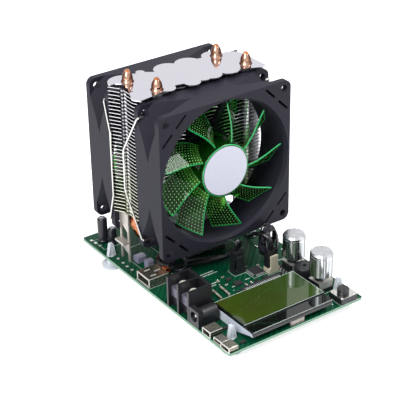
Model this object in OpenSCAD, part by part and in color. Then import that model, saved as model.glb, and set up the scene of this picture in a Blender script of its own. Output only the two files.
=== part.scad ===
/* [Board] */
// Width of the circuit board, left to right
board_w = 96; // [94:1:104]
// Depth of the circuit board, front to back
board_d = 156; // [154:1:170]
// Thickness of the circuit board
board_t = 1.6; // [1:0.1:2.4]
// Corner radius of the circuit board
board_r = 1.5; // [0.5:0.5:3]
// Height of the board's underside above the table
board_lift = 5.4; // [4:0.1:9]

/* [Standoffs] */
// Diameter of a standoff's round foot
foot_d = 12.6; // [10:0.2:13]
// Thickness of a standoff's round foot
foot_t = 1.6; // [1:0.1:2.4]
// Diameter of a standoff's post
post_d = 6; // [5:0.1:7]
// Diameter of the neck that passes through the board
neck_d = 3.8; // [3:0.1:4.4]
// Gap round the neck in its hole
neck_gap = 0.1; // [0.05:0.05:0.3]
// Height of the barbed tip above the board
barb_h = 8.6; // [6:0.2:11]
// Width of the barbed tip at its foot
barb_w = 5.6; // [4.8:0.1:6.4]
// Distance of the rear standoffs from the side edges
rear_foot_in = 3.4; // [3:0.1:5]
// Distance of the rear standoffs from the rear edge
rear_foot_y = 29; // [20:1:32]

/* [Fans] */
// Side of the square fan frame
fan_size = 92; // [90:1:92]
// Depth of a fan frame along its axis
fan_t = 25; // [24:0.5:26]
// Thickness of the frame between its sides and the duct
duct_wall = 2.5; // [2:0.25:3.5]
// Distance of the corner holes from the frame's sides
fan_hole_in = 4.75; // [4.5:0.05:5.5]
// Diameter of the corner holes
fan_hole_d = 4.3; // [3.6:0.1:4.8]
// Corner radius of the fan frame
fan_corner_r = 4.5; // [3:0.5:6]
// Thickness of the flanges at the frame's corners
flange_t = 4; // [3:0.25:5]
// Distance from the duct to the bottom of the V-shaped corner pockets
pocket_wall = 4.7; // [4.1:0.1:10]
// Distance from the duct to where a corner pocket reaches the flanges
flare_wall = 14.5; // [12.5:0.5:15.5]
// Distance from the duct to the slots that part the corners from it
slot_wall = 6.5; // [4.5:0.5:8.5]
// Width of the slots that part the corners from the duct
corner_slot = 1.4; // [0.8:0.1:2]
// Gap between the board and the front fan's frame
front_fan_lift = 20.5; // [18:0.5:24]
// Gap between the board and the rear fan's frame
rear_fan_lift = 19; // [17:0.5:23]

/* [Rotors] */
// Number of blades on a rotor
blades = 9; // [5:1:11]
// Gap between the blade tips and the duct
tip_gap = 2; // [1.5:0.25:4.5]
// Diameter of the hub cup
hub_d = 34; // [32:0.5:38]
// Wall of the hub cup
hub_wall = 1.6; // [1.2:0.1:2]
// Depth of the hub cup along the axis
hub_h = 17; // [14:0.5:18]
// Distance from the frame's open face to the hub's flat face
hub_in = 1.5; // [1:0.1:3]
// Axial depth of a blade
blade_h = 12; // [9:0.5:14]
// Angle that a blade takes up at its tip
tip_span = 20; // [15:1:26]
// Angle that a blade takes up at the hub
root_span = 25; // [18:1:30]
// Angle by which the front edge runs ahead from hub to tip
sweep = 17; // [0:1:25]
// Thickness of a blade
blade_t = 1; // [0.8:0.1:1.6]
// Diameter of the rotor shaft
shaft_d = 3; // [2:0.1:4]
// Running gap between the shaft and its bearing
bearing_gap = 0.05; // [0.02:0.01:0.09]
// Diameter of the label disc on a hub
label_d = 30.5; // [26:0.5:32]

/* [Cooler] */
// Distance of the cooler's centre right of the board's centre
cooler_x = 2.9; // [1:0.1:4]
// Distance of the cooler's centre behind the board's centre
cooler_y = 31.3; // [26:0.1:33]
// Depth of the fin stack, which is the gap between the fans
fin_depth = 27.2; // [26.6:0.2:30]
// Distance of the fins' ends from the sides of the fan frames
fin_in = 0; // [0:0.25:2]
// Thickness of one fin
fin_t = 0.4; // [0.3:0.05:0.6]
// Distance from one fin to the next
fin_pitch = 2.3; // [2:0.05:2.4]
// Height of the lowest fin above the board
fin_low = 33; // [31:0.5:36]
// Gap between the front fan's frame and the large top fin above it
top_fin_gap = 2.5; // [1.5:0.5:4.5]
// Outer diameter of a heat pipe
pipe_d = 6; // [5:0.1:7]
// Distance between the two legs of a heat pipe
pipe_span = 62.6; // [58:0.2:66]
// Sideways offset of each heat pipe from the cooler's centre
pipe_stagger = 3.5; // [0:0.1:4]
// Gap between a heat pipe's legs and the nearer fan
pipe_edge = 0.6; // [0.6:0.1:2]
// Height of the pipes' pointed tips above the underside of the top fin
tip_h = 8; // [7.5:0.1:12]
// Distance between the two pipes in the base
base_pitch = 7.4; // [6.8:0.1:9]
// Gap round a pipe in the fins and in the base
pipe_gap = 0.05; // [0.02:0.01:0.1]
// Width of the cooler's base block
base_w = 36; // [30:1:38]
// Depth of the cooler's base block
base_d = 38; // [32:1:38]
// Thickness of the cooler's base block
base_t = 8; // [7.6:0.1:10]
// Height of the power transistors under the base
transistor_h = 4.4; // [3.5:0.1:5]
// Thickness of the bracket's sheet metal
sheet_t = 1; // [0.8:0.1:1.4]
// Width of a bracket
bracket_d = 9.6; // [8:0.2:11]
// Diameter of the fan clips' wire
clip_d = 1.2; // [0.8:0.1:1.6]

/* [Display] */
// Width of the display
lcd_w = 57; // [54:0.5:58]
// Depth of the display
lcd_d = 36.2; // [34:0.1:37]
// Distance of the display's left edge from the board's left edge
lcd_in = 16; // [15:0.5:17]
// Distance of the display's front edge from the board's front edge
lcd_front = 0.2; // [0:0.1:1]
// Height of the backlight body
backlight_h = 6.2; // [5:0.1:7]
// Thickness of the lower glass
lower_glass_t = 1; // [0.7:0.1:1.2]
// Thickness of the upper glass
upper_glass_t = 0.8; // [0.5:0.1:1]
// Depth of the bare ledge along the front of the glass
glass_ledge = 8; // [5:0.5:9]
// Number of pins behind the display
lcd_pins = 20; // [8:1:20]
// Distance from one display pin to the next
lcd_pin_pitch = 1.27; // [1:0.01:1.27]

/* [Controls] */
// Distance of the two knobs from the board's right edge
knob_in = 13.6; // [13:0.1:15]
// Distance of the front knob from the board's front edge
fine_y = 21.8; // [21.6:0.1:22.4]
// Distance of the rear knob from the board's front edge
coarse_y = 47; // [46.8:0.1:49]
// Diameter of a knob
knob_d = 14; // [12:0.5:15]
// Height of a knob
knob_h = 15; // [12:0.5:18]
// Height of a knob's foot above the board
knob_lift = 10.4; // [10.2:0.1:12]
// Diameter of a potentiometer's shaft
pot_shaft_d = 6; // [5:0.1:6.4]
// Size of a potentiometer's case across its pins
pot_w = 9.6; // [9:0.1:9.8]
// Size of a potentiometer's case from its pins to its back
pot_d = 11; // [10:0.1:12]
// Height of a potentiometer's case
pot_h = 6.9; // [6:0.1:7.4]
// Diameter of the collar round the shaft
collar_d = 8; // [7.4:0.1:9]
// Diameter of the buzzer
buzzer_d = 12; // [11:0.1:12]
// Height of the buzzer
buzzer_h = 9.5; // [8:0.1:9.8]
// Distance of the buzzer from the board's front edge
buzzer_y = 35.5; // [35:0.1:35.8]
// Side of the push button's square body
button_w = 12; // [11:0.1:12]
// Height of the push button's square body
button_h = 3.4; // [3.2:0.1:5]
// Diameter of the button's round cap
cap_d = 7; // [6:0.1:8]
// Height of the cap's top above the board
cap_h = 7; // [6.4:0.1:9]
// Travel of the push button
button_travel = 0.35; // [0.2:0.05:0.5]

/* [Connectors] */
// Depth of the screw terminal from its mouth to its back
term_d = 16; // [14:0.5:17]
// Distance from one screw terminal to the next
term_pitch = 10.3; // [9.5:0.1:10.3]
// Thickness of the terminal's partition walls
term_wall = 1.5; // [1.2:0.1:2]
// Height of the terminal's partition walls
term_h = 19.5; // [18.6:0.5:21]
// Height of the plastic seat under the terminal plates
term_seat = 12.2; // [11:0.1:12.6]
// Thickness of the terminal plates
plate_t = 1; // [0.8:0.1:1.2]
// Distance of the terminal's front wall from the board's front edge
term_y = 39.1; // [38.7:0.1:39.4]
// Width of the power jack
jack_w = 9; // [9:0.1:9.2]
// Length of the power jack
jack_l = 14.4; // [13:0.1:15]
// Height of the power jack
jack_h = 11; // [10.6:0.1:12]
// Diameter of the power jack's socket
jack_hole_d = 6.4; // [6:0.1:6.6]
// Diameter of the power jack's centre pin
jack_pin_d = 2; // [1.6:0.1:2.5]
// Distance of the power jack's centre from the board's front edge
jack_y = 33.6; // [33.2:0.1:33.6]
// Thickness of the connectors' sheet metal
shell_t = 0.35; // [0.3:0.05:0.45]

/* [Fan plugs] */
// Distance from one plug pin to the next
plug_pitch = 2.54; // [2.5:0.01:2.54]
// Width of a fan header
header_w = 7.6; // [7.6:0.1:8]
// Depth of a fan header
header_d = 5.9; // [5.8:0.1:6.2]
// Height of a fan header's base
header_h = 3.2; // [2.6:0.1:4]
// Height of a fan header's locking tab
tab_h = 11.5; // [9:0.1:12]
// Thickness of a fan header's locking tab
tab_t = 1.2; // [1:0.1:1.4]
// Height of a fan plug
plug_h = 11; // [9.6:0.1:12]
// Diameter of a fan's lead
lead_d = 2.6; // [2:0.1:3]
// Diameter of the sleeve over the front fan's lead
sleeve_d = 4.6; // [3:0.1:5]

/* [Hidden] */
$fn = 64;

// Board levels and edges
top = board_lift + board_t;
left = -board_w / 2;
right = board_w / 2;
front = -board_d / 2;
back = board_d / 2;

// Places of the four standoffs
front_foot_x = 10.2;
front_foot_y = 11.7;
right_foot_x = 6.5;
right_foot_y = 14.5;
standoff_spots = [[left + rear_foot_in, back - rear_foot_y],
    [right - rear_foot_in, back - rear_foot_y],
    [left + front_foot_x, front + front_foot_y],
    [right - right_foot_x, front + right_foot_y]];

// Fan sizes that follow the frame's side
duct_d = fan_size - 2 * duct_wall;
fan_pitch = fan_size - 2 * fan_hole_in;
pocket_r = duct_d / 2 + pocket_wall;
pocket_flare = duct_d / 2 + flare_wall;
corner_slot_r = duct_d / 2 + slot_wall;
tip_d = duct_d - 2 * tip_gap;
front_fan_z = front_fan_lift + fan_size / 2;
rear_fan_z = rear_fan_lift + fan_size / 2;

// Cooler levels and places
fin_w = fan_size - 2 * fin_in;
top_fin_z = front_fan_lift + fan_size + top_fin_gap;
fins = floor((top_fin_z - fin_low) / fin_pitch) + 1;
base_z = top + transistor_h;
run_z = base_z + base_t / 2;
front_pipe_x = cooler_x + pipe_stagger;
rear_pipe_x = cooler_x - pipe_stagger;
pipe_rows = fin_depth - pipe_d - 2 * pipe_edge;
front_pipe_y = cooler_y - pipe_rows / 2;
rear_pipe_y = cooler_y + pipe_rows / 2;
pipe_hole_d = pipe_d + 2 * pipe_gap;
fin_z = top + fin_low;
stack_h = (fins - 1) * fin_pitch + fin_t;
top_plate_z = top + top_fin_z;
front_face = cooler_y - fin_depth / 2 - fan_t;
rear_face = cooler_y + fin_depth / 2;

// Rounded outlines used by many pieces
module rounded(w, d, r) {
    square([w - 2 * r, d], center = true);
    square([w, d - 2 * r], center = true);
    for (sx = [-1, 1], sy = [-1, 1])
        translate([sx * (w / 2 - r), sy * (d / 2 - r)]) circle(r = r);
}

// A plain block that stands on the level z, with its middle at x and y
module block(w, d, h) {
    translate([-w / 2, -d / 2, 0]) cube([w, d, h]);
}

// Turns an outline drawn in depth and height into a piece of width w across the board
module profile_x(w) {
    rotate([90, 0, 90]) translate([0, 0, -w / 2]) linear_extrude(w) children();
}

// A round wire between two points, with a ball at each end
module wire(a, b, d) {
    v = b - a;
    n = norm(v);
    translate(a)
        rotate([0, acos(v.z / n), atan2(v.y, v.x)]) cylinder(d = d, h = n, $fn = 24);
    translate(b) sphere(d = d, $fn = 24);
}

// Swept tubes: a ring of points at each step of a path
function unit(v) = v / norm(v);
function steps(p) = [for (i = [0 : len(p) - 1])
    unit(p[min(i + 1, len(p) - 1)] - p[max(i - 1, 0)])];
function carried(u, t, i = 0, out = []) = i == len(t) ? out :
    let (w = unit(u - (u * t[i]) * t[i])) carried(w, t, i + 1, concat(out, [w]));
function through(p, i, t) =
    let (a = p[max(i - 1, 0)], b = p[i], c = p[i + 1], d = p[min(i + 2, len(p) - 1)])
    0.5 * (2 * b + (c - a) * t + (2 * a - 5 * b + 4 * c - d) * t * t
        + (3 * b - a - 3 * c + d) * t * t * t);
function smooth(p, n) = concat([for (i = [0 : len(p) - 2], j = [0 : n - 1])
    through(p, i, j / n)], [p[len(p) - 1]]);
function bend(a, b, c, d, n) = [for (j = [1 : n - 1]) let (t = j / n, s = 1 - t)
    s * s * s * a + 3 * s * s * t * b + 3 * s * t * t * c + t * t * t * d];

module tube(path, radii, sides, start) {
    m = len(path);
    t = steps(path);
    u = carried(start, t);
    points = [for (i = [0 : m - 1], k = [0 : sides - 1])
        let (v = cross(t[i], u[i]), a = 360 * k / sides)
        path[i] + radii[i] * (cos(a) * u[i] + sin(a) * v)];
    quads = [for (i = [0 : m - 2], k = [0 : sides - 1])
        let (k2 = (k + 1) % sides, p = i * sides, q = p + sides)
        each [[p + k, q + k, q + k2], [p + k, q + k2, p + k2]]];
    polyhedron(concat(points), concat([[for (k = [0 : sides - 1]) k]], quads,
        [[for (k = [sides - 1 : -1 : 0]) (m - 1) * sides + k]]));
}

// Bare board with the four standoff holes and the cooler's screw holes
module circuit_board() {
    color("#0f6b3f") translate([0, 0, board_lift]) difference() {
        linear_extrude(board_t) rounded(board_w, board_d, board_r);
        for (p = standoff_spots)
            translate([p.x, p.y, -1]) cylinder(d = neck_d + 2 * neck_gap, h = board_t + 2);
        for (p = base_screw_spots)
            translate([p.x, p.y, -1]) cylinder(d = base_screw_d + 0.2, h = board_t + 2);
    }
}

// Snap-in nylon standoffs: round foot, post, neck and split arrow tip
module standoff() {
    cylinder(d = foot_d, h = foot_t);
    cylinder(d = post_d, h = board_lift);
    cylinder(d = neck_d, h = top + 0.4);
    translate([0, 0, top]) rotate([90, 0, 0]) translate([0, 0, -1.3]) linear_extrude(2.6)
        difference() {
            polygon([[-barb_w / 2, 0], [barb_w / 2, 0], [barb_w / 2 - 0.3, 1],
                [1.3, barb_h - 0.6], [0.8, barb_h], [-0.8, barb_h],
                [-1.3, barb_h - 0.6], [-barb_w / 2 + 0.3, 1]]);
            for (s = [-1, 1])
                polygon([[s * 0.9, 0.9], [s * 1.7, 0.9], [s * 0.9, barb_h * 0.6]]);
        }
}
module board_standoffs() {
    color("#e8f0ee") for (p = standoff_spots) translate([p.x, p.y, 0]) standoff();
}

// Display: a backlight body whose underside rises at the front, two glasses, pins
lcd_x = left + lcd_in + lcd_w / 2;
lcd_y = front + lcd_front;
lcd_back = lcd_y + lcd_d;
glass_z = top + backlight_h;
module display_backlight() {
    color("#cfc9e6") translate([lcd_x, 0, top]) profile_x(lcd_w)
        polygon([[lcd_back, 0], [lcd_back, backlight_h], [lcd_y + 0.6, backlight_h],
            [lcd_y, backlight_h - 0.6], [lcd_y, backlight_h - 2.4],
            [lcd_y + 3, backlight_h - 2.6], [lcd_y + 15, 0]]);
}
module display_glass() {
    color("#3d5a24") translate([lcd_x, lcd_y, glass_z]) {
        translate([-lcd_w / 2, 0, 0]) cube([lcd_w, lcd_d, lower_glass_t]);
        translate([-lcd_w / 2, glass_ledge, 0])
            cube([lcd_w, lcd_d - glass_ledge, lower_glass_t + upper_glass_t]);
    }
}
lcd_pin_in = 9.6;
lcd_pin_x = lcd_x + lcd_w / 2 - lcd_pin_in;
module display_pins() {
    color("#d8dadc") for (i = [0 : lcd_pins - 1])
        translate([lcd_pin_x - i * lcd_pin_pitch, 0, 0]) profile_x(0.5)
            polygon([[lcd_back, glass_z + 0.3], [lcd_back, glass_z + 0.6],
                [lcd_back + 1.6, glass_z + 0.6], [lcd_back + 2.4, top + 2],
                [lcd_back + 2.4, top], [lcd_back + 2.1, top],
                [lcd_back + 2.1, top + 2], [lcd_back + 1.4, glass_z + 0.3]]);
}

// Controller chip with gull-wing leads on all four sides
chip_x = 15;
chip_y = front + 58.8;
chip_w = 7;
chip_h = 1.5;
lead_pitch = 0.5;
leads_a_side = 12;
module main_chip() {
    color("#1d1d20") translate([chip_x, chip_y, top + 0.1]) difference() {
        block(chip_w, chip_w, chip_h);
        translate([-chip_w / 2 + 1, -chip_w / 2 + 1, chip_h - 0.1])
            cylinder(d = 0.8, h = 1, $fn = 24);
    }
}
module chip_leads() {
    color("#c9ccd0") translate([chip_x, chip_y, top]) for (q = [0 : 3]) rotate(90 * q)
        for (i = [0 : leads_a_side - 1])
            translate([(i - (leads_a_side - 1) / 2) * lead_pitch, 0, 0]) profile_x(0.22)
                polygon([[chip_w / 2, 0.9], [chip_w / 2, 0.75], [chip_w / 2 + 0.3, 0.75],
                    [chip_w / 2 + 0.45, 0], [chip_w / 2 + 1, 0], [chip_w / 2 + 1, 0.15],
                    [chip_w / 2 + 0.55, 0.15], [chip_w / 2 + 0.4, 0.9]]);
}

// Small parts: places as x and y from the front edge, then width, depth and height
front_parts = [[24.5, 47.5, 2.9, 1.6, 1.1], [15.5, 50, 3.2, 1.6, 1], [21, 43.5, 3.6, 2.4, 1.2],
    [-2, 54, 5, 4, 1.5], [2.5, 47, 3.2, 1.6, 1], [-7, 44.6, 2, 1.25, 0.7],
    [-7, 47.6, 2, 1.25, 0.7], [-3.6, 61, 3.2, 2.5, 1.1], [8.6, 48, 2, 1.25, 0.7],
    [8.6, 50.6, 2, 1.25, 0.7], [-27, 48, 4.6, 3.6, 2.1], [-26.6, 56, 3.2, 1.6, 1],
    [-35.2, 21, 3.2, 1.6, 1], [-35.4, 4.5, 3.2, 1.6, 1]];
small_parts = concat([for (p = front_parts) [p[0], front + p[1], p[2], p[3], p[4]]],
    [[-20.6, cooler_y - 11.8, 5, 4, 1.5], [28, back - 6, 4.6, 3.6, 2.1]]);
module surface_mount_parts() {
    color("#2a2a2e") for (p = small_parts) translate([p[0], p[1], top]) block(p[2], p[3], p[4]);
}

// Two thick wire shunts, each bent down at its ends
shunt_d = 1.2;
module shunt(a, b) {
    lift = [0, 0, shunt_d / 2 + 0.6];
    translate([a.x, a.y, top]) cylinder(d = shunt_d, h = lift.z, $fn = 24);
    translate([b.x, b.y, top]) cylinder(d = shunt_d, h = lift.z, $fn = 24);
    translate([a.x, a.y, top] + lift) sphere(d = shunt_d, $fn = 24);
    wire([a.x, a.y, top] + lift, [b.x, b.y, top] + lift, shunt_d);
}
module current_shunts() {
    color("#c8ccd2") {
        shunt([-18.7, front + 55.8], [-19.5, front + 47.1]);
        shunt([-12.7, front + 56.9], [-13.5, front + 47]);
    }
}

// Crystal can: a rounded lid on a flanged foot, under the display's front edge
crystal_x = 1;
module quartz_crystal() {
    color("#cfd3d6") translate([crystal_x, front + 2.9, top]) {
        linear_extrude(0.5) rounded(11.4, 4.65, 2.2);
        linear_extrude(3) rounded(10.4, 3.8, 1.8);
    }
}

// Screw terminal for two wires, open towards the left edge
term_x = left;
term_mid = front + term_y + term_pitch;
seat_in = 3;
back_wall = 2;
screw_x = term_x + 8;
screw_d = 3;
module terminal_housing() {
    color("#26262a") difference() {
        union() {
            for (i = [-1 : 1]) translate([term_x, term_mid + i * term_pitch - term_wall / 2, top])
                cube([term_d, term_wall, term_h]);
            translate([term_x + term_d - back_wall, term_mid - term_pitch, top])
                cube([back_wall, 2 * term_pitch, term_h]);
            translate([term_x + seat_in, term_mid - term_pitch, top])
                cube([term_d - seat_in, 2 * term_pitch, term_seat]);
        }
        for (s = [-0.5, 0.5]) translate([screw_x, term_mid + s * term_pitch, top + term_seat - 7])
            cylinder(d = screw_d + 0.1, h = 8);
    }
}
plate_w = term_pitch - term_wall - 0.6;
module terminal_plates() {
    color("#c9b27a") for (s = [-0.5, 0.5])
        translate([term_x + seat_in, term_mid + s * term_pitch, top + term_seat]) difference() {
            union() {
                translate([0, -plate_w / 2, 0]) cube([term_d - seat_in - back_wall - 0.3, plate_w,
                    plate_t]);
                translate([-plate_t, -plate_w / 2, plate_t - 6]) cube([plate_t, plate_w, 6]);
            }
            translate([screw_x - term_x - seat_in, 0, -1]) cylinder(d = screw_d + 0.1, h = 4);
        }
}
module terminal_screws() {
    color("#b9b9bd") for (s = [-0.5, 0.5])
        translate([screw_x, term_mid + s * term_pitch, top + term_seat]) {
            translate([0, 0, -6]) cylinder(d = screw_d, h = 6 + plate_t);
            translate([0, 0, plate_t]) difference() {
                union() {
                    cylinder(d = 6, h = 1.6);
                    translate([0, 0, 1.6]) cylinder(d1 = 6, d2 = 4.6, h = 0.7);
                }
                for (r = [0, 90]) rotate(r) translate([-2.2, -0.4, 1.2]) cube([4.4, 0.8, 2]);
            }
        }
}

// Power jack: square flange, round barrel behind it, and a centre pin in the socket
jack_mid = front + jack_y;
jack_z = top + jack_h - 4.7;
jack_flange = 3.4;
module power_jack_housing() {
    color("#1c1c1f") translate([left, jack_mid, 0]) difference() {
        union() {
            translate([0, -jack_w / 2, top]) cube([jack_flange, jack_w, jack_h]);
            translate([0, 0, jack_z]) rotate([0, 90, 0])
                cylinder(d = jack_w - 1, h = jack_l);
            translate([0, -jack_w / 2 + 0.5, top]) cube([jack_l, jack_w - 1, jack_z - top]);
        }
        translate([-1, 0, jack_z]) rotate([0, 90, 0]) cylinder(d = jack_hole_d, h = 10.5);
        translate([9, 0, jack_z]) rotate([0, 90, 0]) cylinder(d = jack_pin_d, h = 3);
    }
}
module power_jack_pin() {
    color("#c9c9cc") translate([left + 1.2, jack_mid, jack_z]) rotate([0, 90, 0]) {
        cylinder(d1 = jack_pin_d - 0.8, d2 = jack_pin_d, h = 0.6);
        translate([0, 0, 0.6]) cylinder(d = jack_pin_d, h = 10.2);
    }
}

// Sheet-metal socket shells, open towards the left edge
usb_a_x = left + 1.5;
usb_a_y = cooler_y - 21.3;
usb_a_w = 13.1;
usb_a_h = 5.7;
usb_a_l = 14;
module usb_a_shell() {
    color("#cdd0d4") translate([usb_a_x, usb_a_y, top]) difference() {
        translate([0, -usb_a_w / 2, 0]) cube([usb_a_l, usb_a_w, usb_a_h]);
        translate([-1, -usb_a_w / 2 + shell_t, shell_t])
            cube([usb_a_l + 1 - shell_t, usb_a_w - 2 * shell_t, usb_a_h - 2 * shell_t]);
        for (s = [-1, 1]) translate([3.4, s * 3.2, usb_a_h - 1]) {
            for (e = [-1, 1]) translate([0, e * 1.1 - 0.15, 0]) cube([4.6, 0.3, 2]);
            translate([0, -1.25, 0]) cube([0.3, 2.5, 2]);
        }
    }
}
module usb_a_tongue() {
    color("#f1f1f1") translate([usb_a_x, usb_a_y, top]) {
        translate([1.2, -5.6, usb_a_h - 3.1]) cube([9.4, 11.2, 1.8]);
        translate([10.6, -usb_a_w / 2 + shell_t, shell_t])
            cube([usb_a_l - shell_t - 10.6, usb_a_w - 2 * shell_t, usb_a_h - 2 * shell_t]);
    }
}

// A small socket: an outline drawn in width and height, a thin wall and a closed back
module socket_shell(l) {
    rotate([90, 0, 90]) difference() {
        linear_extrude(l) children(0);
        translate([0, 0, -1]) linear_extrude(l + 1 - shell_t) children(1);
    }
}
mini_y = front + 21.6;
mini_w = 7.7;
mini_h = 4;
mini_l = 8.6;
module mini_outline(g) {
    w = mini_w / 2 - g;
    polygon([[-w + 1.1, g], [w - 1.1, g], [w - 0.55, g + 0.9], [w, 1.9 - g / 4], [w, mini_h - g],
        [-w, mini_h - g], [-w, 1.9 - g / 4], [-w + 0.55, g + 0.9]]);
}
module mini_usb_shell() {
    color("#cdd0d4") translate([left, mini_y, top]) socket_shell(mini_l) {
        mini_outline(0);
        mini_outline(shell_t);
    }
}
micro_y = front + 11.7;
micro_w = 7.2;
micro_h = 2.8;
micro_l = 5.6;
module micro_outline(g) {
    w = micro_w / 2 - g;
    polygon([[-w + 1, g], [w - 1, g], [w, g + 1], [w, micro_h - g], [-w, micro_h - g],
        [-w, g + 1]]);
}
module micro_usb_shell() {
    color("#cdd0d4") translate([left + 0.5, micro_y, top]) socket_shell(micro_l) {
        micro_outline(0);
        micro_outline(shell_t);
    }
}
type_c_y = front + 4.1;
type_c_w = 7.8;
type_c_h = 3.3;
type_c_l = 6.4;
module type_c_outline(g) {
    translate([0, type_c_h / 2])
        rounded(type_c_w - 2 * g, type_c_h - 2 * g, type_c_h / 2 - g - 0.02);
}
module type_c_shell() {
    color("#cdd0d4") translate([left, type_c_y, top]) socket_shell(type_c_l) {
        type_c_outline(0);
        type_c_outline(shell_t);
    }
}
module tongue(l, w, z, t) {
    translate([l * 0.18, -w / 2, z]) cube([l * 0.82 - shell_t, w, t]);
}
module small_socket_tongues() {
    color("#1c1c1f") {
        translate([left, mini_y, top]) tongue(mini_l, 4.2, 1.5, 1);
        translate([left + 0.5, micro_y, top]) tongue(micro_l, 3.7, micro_h - 1.4, 0.7);
        translate([left, type_c_y, top]) tongue(type_c_l, 5.4, type_c_h / 2 - 0.35, 0.7);
    }
}

// Two rotary controls: plastic base with pins, metal case with a collar, shaft, knob
knob_x = right - knob_in;
knob_spots = [[knob_x, front + coarse_y], [knob_x, front + fine_y]];
pot_base_h = 2.4;
collar_h = knob_lift - pot_h - 0.6;
floor_h = 3;
module potentiometer_bases() {
    color("#1c1c1f") for (p = knob_spots) translate([p.x, p.y, top]) {
        block(pot_d, pot_w, pot_base_h);
        translate([-pot_d / 2 - 1.6, -pot_w / 2 + 0.4, 0]) cube([1.6, pot_w - 0.8, 3.6]);
    }
}
module potentiometer_cases() {
    color("#9a9ca0") for (p = knob_spots) translate([p.x, p.y, top + pot_base_h]) difference() {
        union() {
            linear_extrude(pot_h - pot_base_h) rounded(pot_d, pot_w, 0.8);
            translate([0, 0, pot_h - pot_base_h]) cylinder(d = collar_d, h = collar_h);
        }
        translate([0, 0, floor_h - pot_base_h])
            cylinder(d = pot_shaft_d + 2 * bearing_gap, h = pot_h + collar_h);
    }
}
module potentiometer_pins() {
    color("#d5d7da") for (p = knob_spots, i = [-1 : 1])
        translate([p.x - pot_d / 2 - 1.6, p.y + i * 2.5, top]) {
            translate([-0.9, -0.45, 0]) cube([0.3, 0.9, 2.6]);
            translate([-0.9, -0.45, 2.3]) cube([0.9, 0.9, 0.3]);
        }
}
shaft_foot = top + floor_h + 0.1;
shaft_top = top + knob_lift + knob_h - 3;
module pot_shaft() {
    difference() {
        translate([0, 0, shaft_foot]) cylinder(d = pot_shaft_d, h = shaft_top - shaft_foot);
        translate([-pot_shaft_d, pot_shaft_d / 2 - 1.5, top + knob_lift + 2])
            cube([2 * pot_shaft_d, pot_shaft_d, knob_h]);
    }
}
module coarse_shaft() {
    color("#c5c7ca") translate([knob_spots[0].x, knob_spots[0].y, 0]) pot_shaft();
}
module fine_shaft() {
    color("#c5c7ca") translate([knob_spots[1].x, knob_spots[1].y, 0]) pot_shaft();
}
// A turned knob with a bright band below its chamfered top and a D-shaped bore
module knob() {
    translate([0, 0, top + knob_lift]) difference() {
        rotate_extrude($fn = 96) polygon([[0, 0], [knob_d / 2 - 0.4, 0], [knob_d / 2, 0.4],
            [knob_d / 2, knob_h - 2.6], [knob_d / 2 - 0.5, knob_h - 2.3],
            [knob_d / 2 - 0.5, knob_h - 1.9], [knob_d / 2, knob_h - 1.6],
            [knob_d / 2, knob_h - 1], [knob_d / 2 - 0.9, knob_h], [0, knob_h]]);
        difference() {
            translate([0, 0, -1]) cylinder(d = pot_shaft_d, h = knob_h - 2);
            translate([-pot_shaft_d, pot_shaft_d / 2 - 1.5, 2])
                cube([2 * pot_shaft_d, pot_shaft_d, knob_h]);
        }
    }
}
module coarse_knob() {
    color("#b9bcc0") translate([knob_spots[0].x, knob_spots[0].y, 0]) knob();
}
module fine_knob() {
    color("#b9bcc0") translate([knob_spots[1].x, knob_spots[1].y, 0]) knob();
}

// Buzzer: a round can with a small sound hole
module buzzer() {
    color("#1c1c1f") translate([knob_x - 1.2, front + buzzer_y, top]) difference() {
        rotate_extrude($fn = 96) polygon([[0, 0], [buzzer_d / 2, 0], [buzzer_d / 2, buzzer_h - 0.5],
            [buzzer_d / 2 - 0.5, buzzer_h], [0, buzzer_h]]);
        translate([0, 0, buzzer_h - 2.5]) cylinder(d = 2.5, h = 3);
    }
}

// Push button: base with a well, riveted cover plate and a round cap
button_x = right - 10;
button_y = front + button_w / 2 + 0.1;
cover_t = 0.4;
cap_gap = 0.05;
module button_base() {
    color("#1c1c1f") translate([button_x, button_y, top]) difference() {
        linear_extrude(button_h) rounded(button_w, button_w, 0.8);
        translate([0, 0, 0.6]) cylinder(d = cap_d + 2 * cap_gap, h = button_h);
    }
}
module button_cover() {
    color("#c9ccd0") translate([button_x, button_y, top + button_h]) {
        linear_extrude(cover_t) difference() {
            rounded(button_w - 0.6, button_w - 0.6, 0.6);
            circle(d = cap_d + 2 * cap_gap);
        }
        for (sx = [-1, 1], sy = [-1, 1]) translate([sx * 4.4, sy * 4.4, cover_t])
            cylinder(d = 1.5, h = 0.4, $fn = 32);
    }
}
module button_cap() {
    color("#1c1c1f") translate([button_x, button_y, top + 0.6 + button_travel + 0.1]) {
        h = cap_h - 0.6 - button_travel - 0.1;
        cylinder(d = cap_d, h = h - 0.4);
        translate([0, 0, h - 0.4]) cylinder(d1 = cap_d, d2 = cap_d - 0.8, h = 0.4);
    }
}

// Fan headers with their plugs, placed from the board's middle and front edge
header_in = [[23.5, 54.5], [6.5, 65.5]];
header_spots = [for (p = header_in) [p.x, front + p.y]];
pin_w = 0.64;
pin_top = 7.6;
module fan_headers() {
    color("#d9d3bd") for (p = header_spots) translate([p.x, p.y, top]) {
        difference() {
            block(header_w, header_d, header_h);
            for (i = [-1 : 1]) translate([i * plug_pitch, 0, -1])
                block(pin_w, pin_w, header_h + 2);
        }
        translate([-2.6, -header_d / 2, 0]) cube([5.2, tab_t, tab_h]);
        translate([-2.6, -header_d / 2 + tab_t, tab_h - 2.6]) rotate([90, 0, 90])
            linear_extrude(5.2) polygon([[0, 0.8], [0.6, 1.6], [0, 2]]);
    }
}
module header_pins() {
    color("#c9ccd0") for (p = header_spots, i = [-1 : 1])
        translate([p.x + i * plug_pitch, p.y, top]) block(pin_w, pin_w, header_h + pin_top);
}
plug_d = header_d - tab_t - 0.8;
plug_y = (tab_t + 0.8) / 2;
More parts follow.
